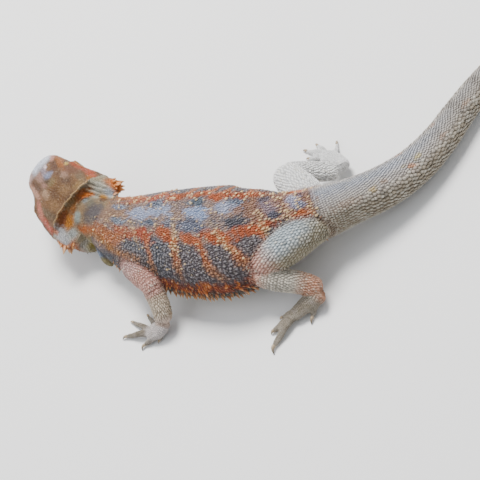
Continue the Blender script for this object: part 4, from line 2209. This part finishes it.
    def head_spines(self) -> None:
        """Spines of the cheeks' rear corners, the crown's edge and the throat."""
        finish = SkinFinish("head_spine_finish", (0.32, 0.52), 0.0008, 0.00006)
        rng = self.rng
        groups = []
        small, large, rear = 20, 7, 9
        for side in (1, -1):
            strewn = [rng.uniform(*ends, small) for ends in ((-40, 24), (-15.5, -9.5), (1.2, 2.4))]
            row = [np.linspace(-26, 18, large), -13.4 + 1.4 * np.sin(np.arange(large) * 2.4)]
            row.append(3.6 + 1.5 * np.cos(np.linspace(-1.5, 1.5, large)))
            edge = [np.linspace(-20.0, 8.0, rear), np.linspace(-15.4, -17.2, rear)]
            edge.append(rng.uniform(1.5, 2.6, rear))
            lift, forward, size = (np.concatenate(parts) for parts in zip(strewn, row, edge))
            angle = np.radians(lift)
            groups.append(self.stand_on_head(forward, mirrored(angle, side), size))
        cheeks = Sites.together(groups)
        self.mark(cheeks)
        cheeks.colours = blend(cheeks.colours, tint(212, 126, 56), 0.75)
        self.vary(cheeks, 0.18)
        self.add(
            "cheek_spines", thorn(bend=0.1), cheeks, (0.36, 0.42, 1.0), finish, Slot.HEAD, -12.0,
            ((238, 206, 154), 0.6), (0.75, 1.05),
        )
        v = np.linspace(-17.0, 16.5, 30)
        forward = HEAD.shield_edge(v) + 0.2
        angle = np.array([self.crown_angle(f, y) for f, y in zip(forward, v)])
        edge = self.stand_on_head(forward, angle, rng.uniform(0.5, 0.8, len(v)))
        self.mark(edge)
        edge.colours = ground(len(edge.roots), 206, 168, 116)
        self.vary(edge, 0.16)
        self.add(
            "crown_edge_spines", thorn(), edge, (0.5, 0.6, 1.0), finish, Slot.HEAD, -52.0,
            ((236, 212, 166), 0.5), (0.8, 1.1),
        )
        total = BEARD.lengths()[-1]
        rows = []
        for lift, size in ((-24.0, 2.0), (-44.0, 2.2)):
            for side in (1, -1):
                at = np.linspace(0.2, 0.9, 8) * total + rng.uniform(-0.8, 0.8, 8)
                angle = np.radians(lift + rng.uniform(-5, 5, 8))
                angle = mirrored(angle, side)
                rows.append(self.stand(BEARD, at, angle, size * rng.uniform(0.7, 1.15, 8)))
        throat = Sites.together(rows)
        throat = throat.keep(Regions(throat.roots).of("beard") > 0.6)
        self.mark(throat)
        throat.colours = blend(throat.colours, tint(150, 126, 100), 0.4)
        self.vary(throat, 0.15)
        self.add(
            "throat_spines", thorn(), throat, (0.26, 0.32, 1.0), finish, Slot.HEAD, -34.0,
            ((96, 82, 72), 0.4), (0.8, 1.05),
        )

    def fold_beads(self) -> None:
        """Small domed beads wherever the skin is still bare, as in the folds at the joints.

        A bead stands on a point of the skin when no scale's root lies in its cell of a
        cubic grid or in a neighbouring cell.
        """
        finish = SkinFinish("fold_bead_finish", (0.42, 0.68), 0.0006, 0.00006)
        points = mesh_points(self.skin.thing.data)
        normals = vertex_rows(self.skin.thing.data, "normal")
        steps = np.stack(np.meshgrid(*[(-1, 0, 1)] * 3, indexing="ij"), -1).reshape(-1, 3)
        weights = np.array((1_000_000, 1_000, 1))
        taken = np.floor(np.vstack(self.roots) / FREE_CELL).astype(np.int64)
        taken = np.unique((taken[:, None] + steps[None]).reshape(-1, 3) @ weights)
        free = ~np.isin(np.floor(points / FREE_CELL).astype(np.int64) @ weights, taken)
        local = HEAD.inward(points)
        head = HEAD.depth(points) < 2.0
        free &= self.clear_of_openings(local) | ~head
        free &= points[:, 2] > 0.4
        points, normals = points[free], normals[free]
        lie = np.cross(normals, (0.3, 0.9, 0.2))
        sizes = self.rng.uniform(0.8, 1.15, len(points))
        sites = Sites(points, normals, unit(lie), sizes).thin(0.85)
        self.mark(sites)
        self.vary(sites, 0.14)
        self.add(
            "fold_beads", granule(), sites, (0.5, 0.5, 0.34), finish, Slot.TRUNK, 0.0,
            ((226, 220, 208), 0.06), (0.74, 1.08),
        )

    @staticmethod
    def crown_angle(forward: float, side: float) -> float:
        """Angle round the head at which its upper surface stands over a sideways place."""
        turn = np.linspace(0.02, math.pi - 0.02, 181)
        points = HEAD.surface(np.full(181, forward), turn)
        order = np.argsort(points[:, 1])
        return float(np.interp(side, points[order, 1], turn[order]))

    def stand(self, sweep: Sweep, at: Array, angle: Array, size: Array) -> Sites:
        """Sites at given distances and angles on a sweep."""
        points = self.pairs(sweep, at, angle)
        lie = unit(self.pairs(sweep, at + 0.5, angle) - self.pairs(sweep, at - 0.5, angle))
        return self.settle(points, lie, size)

    def stand_on_head(self, forward: Array, angle: Array, size: Array) -> Sites:
        """Sites on the head, lying backwards."""
        points = HEAD.outward(HEAD.surface(forward, angle))
        lie = unit(HEAD.outward(HEAD.surface(forward - 0.5, angle)) - points)
        return self.settle(points, lie, size)


def placed(right: Array, up: Array, back: Array, place: Array) -> Matrix:
    """The matrix of a camera or lamp from its three directions and its place."""
    rows = [[right[i], up[i], back[i], place[i]] for i in range(3)]
    return Matrix(rows + [[0, 0, 0, 1]])


@dataclass(frozen=True)
class Studio:
    """Pale floor, soft lights and the camera.

    Attributes:
        turn: Camera's turn round the model, in degrees.
        lift: Its height above the horizon, in degrees.
        roll: Its turn about its own axis, in degrees.
        distance: Its distance from the target, in metres.
        target: The point it looks at, in metres.
        lens: Focal length on a sensor 36 mm wide.
        shift: Shift of the frame.
        key: Power of the main lamp, in watts.
        fill: Power of the lamp that lightens the shadows, in watts.
        sky: Strength of the even sky.
    """

    turn: float = 36.0
    lift: float = 50.0
    roll: float = 32.0
    distance: float = 0.780
    target: tuple[float, float, float] = (-0.0586, -0.069, 0.022)
    lens: float = 94.77
    shift: tuple[float, float] = (0.0521, -0.0083)
    key: float = 60.0
    fill: float = 9.0
    sky: float = 0.54

    def floor(self) -> None:
        """A wide matt floor with a faint mottle."""
        mesh = bpy.data.meshes.new("floor")
        half = 6.0
        corners = [(-half, -half, 0), (half, -half, 0), (half, half, 0), (-half, half, 0)]
        mesh.from_pydata(corners, [], [(0, 1, 2, 3)])
        thing = linked("floor", mesh)
        material = bpy.data.materials.new("floor_finish")
        material.use_nodes = True
        tree = material.node_tree
        shader = tree.nodes["Principled BSDF"]
        noise = add_node(tree, "TexNoise", Scale=3.0)
        place = add_node(tree, "TexCoord")
        tone = add_node(tree, "MapRange", To_Min=0.9, To_Max=0.94)
        tree.links.new(place.outputs["Object"], noise.inputs["Vector"])
        tree.links.new(noise.outputs["Fac"], tone.inputs["Value"])
        tree.links.new(tone.outputs["Result"], shader.inputs["Base Color"])
        shader.inputs["Roughness"].default_value = 0.85
        mesh.materials.append(material)

    def axes(self) -> tuple[Array, Array, Array]:
        """Right, up and backward directions of the camera."""
        a, e, r = (math.radians(v) for v in (self.turn, self.lift, -self.roll))
        back = np.array((math.sin(a) * math.cos(e), -math.cos(a) * math.cos(e), math.sin(e)))
        right = unit(np.cross((0.0, 0.0, 1.0), back))
        up = np.cross(back, right)
        c, s = math.cos(r), math.sin(r)
        return right * c + up * s, up * c - right * s, back

    def camera(self) -> None:
        """The camera at the photograph's angle."""
        right, up, back = self.axes()
        data = bpy.data.cameras.new("camera")
        data.lens = self.lens
        data.sensor_width = 36.0
        data.shift_x, data.shift_y = self.shift
        data.clip_start, data.clip_end = 0.01, 50.0
        thing = linked("camera", data)
        thing.matrix_world = placed(right, up, back, np.array(self.target) + back * self.distance)
        bpy.context.scene.camera = thing

    def light(
        self, name: str, place: Array, power: float, size: float, tone: Sequence[float]
    ) -> None:
        """One large soft lamp aimed at the animal.

        Args:
            name: Its name.
            place: Where it stands, in metres.
            power: Its power, in watts.
            size: Side of its square, in metres.
            tone: Its linear colour.
        """
        data = bpy.data.lights.new(name, "AREA")
        data.energy, data.size, data.color = power, size, tone
        back = unit(place - np.array(self.target))
        right = unit(np.cross((0.1, 0.97, 0.2), back))
        linked(name, data).matrix_world = placed(right, np.cross(back, right), back, place)

    def world(self) -> None:
        """An even pale sky."""
        world = bpy.data.worlds.new("sky")
        bpy.context.scene.world = world
        world.use_nodes = True
        background = world.node_tree.nodes["Background"]
        background.inputs["Color"].default_value = (0.93, 0.96, 1.0, 1)
        background.inputs["Strength"].default_value = self.sky

    def build(self) -> None:
        """Everything of the studio."""
        self.floor()
        self.camera()
        self.world()
        right, up, back = self.axes()
        target = np.array(self.target)
        key = target + up * 1.0 - right * 0.35 + np.array((0.0, 0.0, 0.9))
        fill = target - right * 1.3 + back * 0.6
        self.light("key", key, self.key, 0.7, (1.0, 0.98, 0.95))
        self.light("fill", fill, self.fill, 1.2, (0.93, 0.96, 1.0))


@dataclass(frozen=True)
class Claws:
    """Every claw as a curved, tapering horn that darkens towards its tip.

    Attributes:
        finish: Finish of the horn.
        rings: Rings along a claw between its rounded ends.
        ring: Points round a ring.
    """

    finish: SkinFinish = SkinFinish("claw_finish", (0.22, 0.38), 0.0009, 0.00002, 0.3)
    rings: int = 14
    ring: int = 12

    def build(self) -> None:
        """Build and colour the claws."""
        sweeps = [digit.claw_sweep(limb.base()) for limb in LIMBS for digit in limb.digits]
        grids = [sweep.shell(self.rings, self.ring, 0.0) for sweep in sweeps]
        points, faces = joined(grids)
        share = np.repeat(np.linspace(0, 1, len(grids[0])), self.ring)
        share = np.concatenate([share, (0.0, 1.0)])
        tone = ground(len(share), 178, 158, 130)
        tone = blend(tone, tint(58, 48, 42), smoothstep(0.15, 0.8, share))
        thing = make_mesh("claws", points, faces, np.tile(tone, (len(grids), 1)))
        thing.data.materials.append(self.finish.material())
        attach(thing, "root")
        names = []
        for limb in LIMBS:
            stem = f"{limb.name}_{limb.end_name}_claw_"
            names += [stem + str(digit.number) for digit in limb.digits]
        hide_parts(*names)


@dataclass(frozen=True)
class Eyes:
    """Glossy eyeballs with an iris and a round pupil.

    Attributes:
        iris: Radius of the iris, as a share of the eye's radius.
        pupil: Radius of the pupil, as such a share.
    """

    iris: float = 0.62
    pupil: float = 0.26

    def build(self) -> None:
        """Build both eyeballs in place of the CAD ones."""
        for side, label in ((1, "left"), (-1, "right")):
            centre = eye_centre(side)
            size = HEAD.eye_radius / HEAD.scale
            grid = ball_grid(centre, (size, size, size), 32, 40)
            points, faces = shell_mesh(grid)
            local = HEAD.inward(points) - centre
            away = np.hypot(local[:, 0], local[:, 2]) / size
            out = local[:, 1] * side > 0
            colour = ground(len(points), 62, 44, 30)
            streak = rough_noise(local * 3.0, 1.0, 50)
            iris = blend(ground(len(points), 170, 112, 40), tint(112, 66, 24), streak)
            colour = np.where((out & (away < self.iris))[:, None], iris, colour)
            colour = np.where((out & (away < self.pupil))[:, None], tint(8, 7, 7), colour)
            thing = make_mesh("eyeball_" + label, points, faces, colour)
            finish = SkinFinish("eye_finish_" + label, (0.06, 0.12), 0.0006, 0.000005, 1.0)
            thing.data.materials.append(finish.material())
            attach(thing, "root")
            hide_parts("eye_" + label)


def flesh_nodes() -> list[str]:
    """Names of the CAD nodes that the skin stands for."""
    names = ["head", "lower_jaw", "beard", "neck", "shoulders", "chest", "belly", "hips"]
    names += ["tail_" + part for part in ("base", "front", "middle", "rear", "thin", "tip")]
    for limb in LIMBS:
        parts = ("upper", "forearm", "hand") if "arm" in limb.name else ("thigh", "shank", "foot")
        names += [f"{limb.name}_{part}" for part in parts]
    return names


def main() -> None:
    """Build the animal and its studio."""
    logging.basicConfig(level=logging.INFO, format="%(name)s: %(message)s")
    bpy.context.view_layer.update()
    markings = Markings()
    skin = Skin(markings)
    thing = skin.build()
    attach(thing, "root")
    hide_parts(*flesh_nodes())
    Coat(skin, markings, np.random.default_rng(SEED)).build()
    Claws().build()
    Eyes().build()
    Studio().build()


if __name__ == "__main__":
    main()
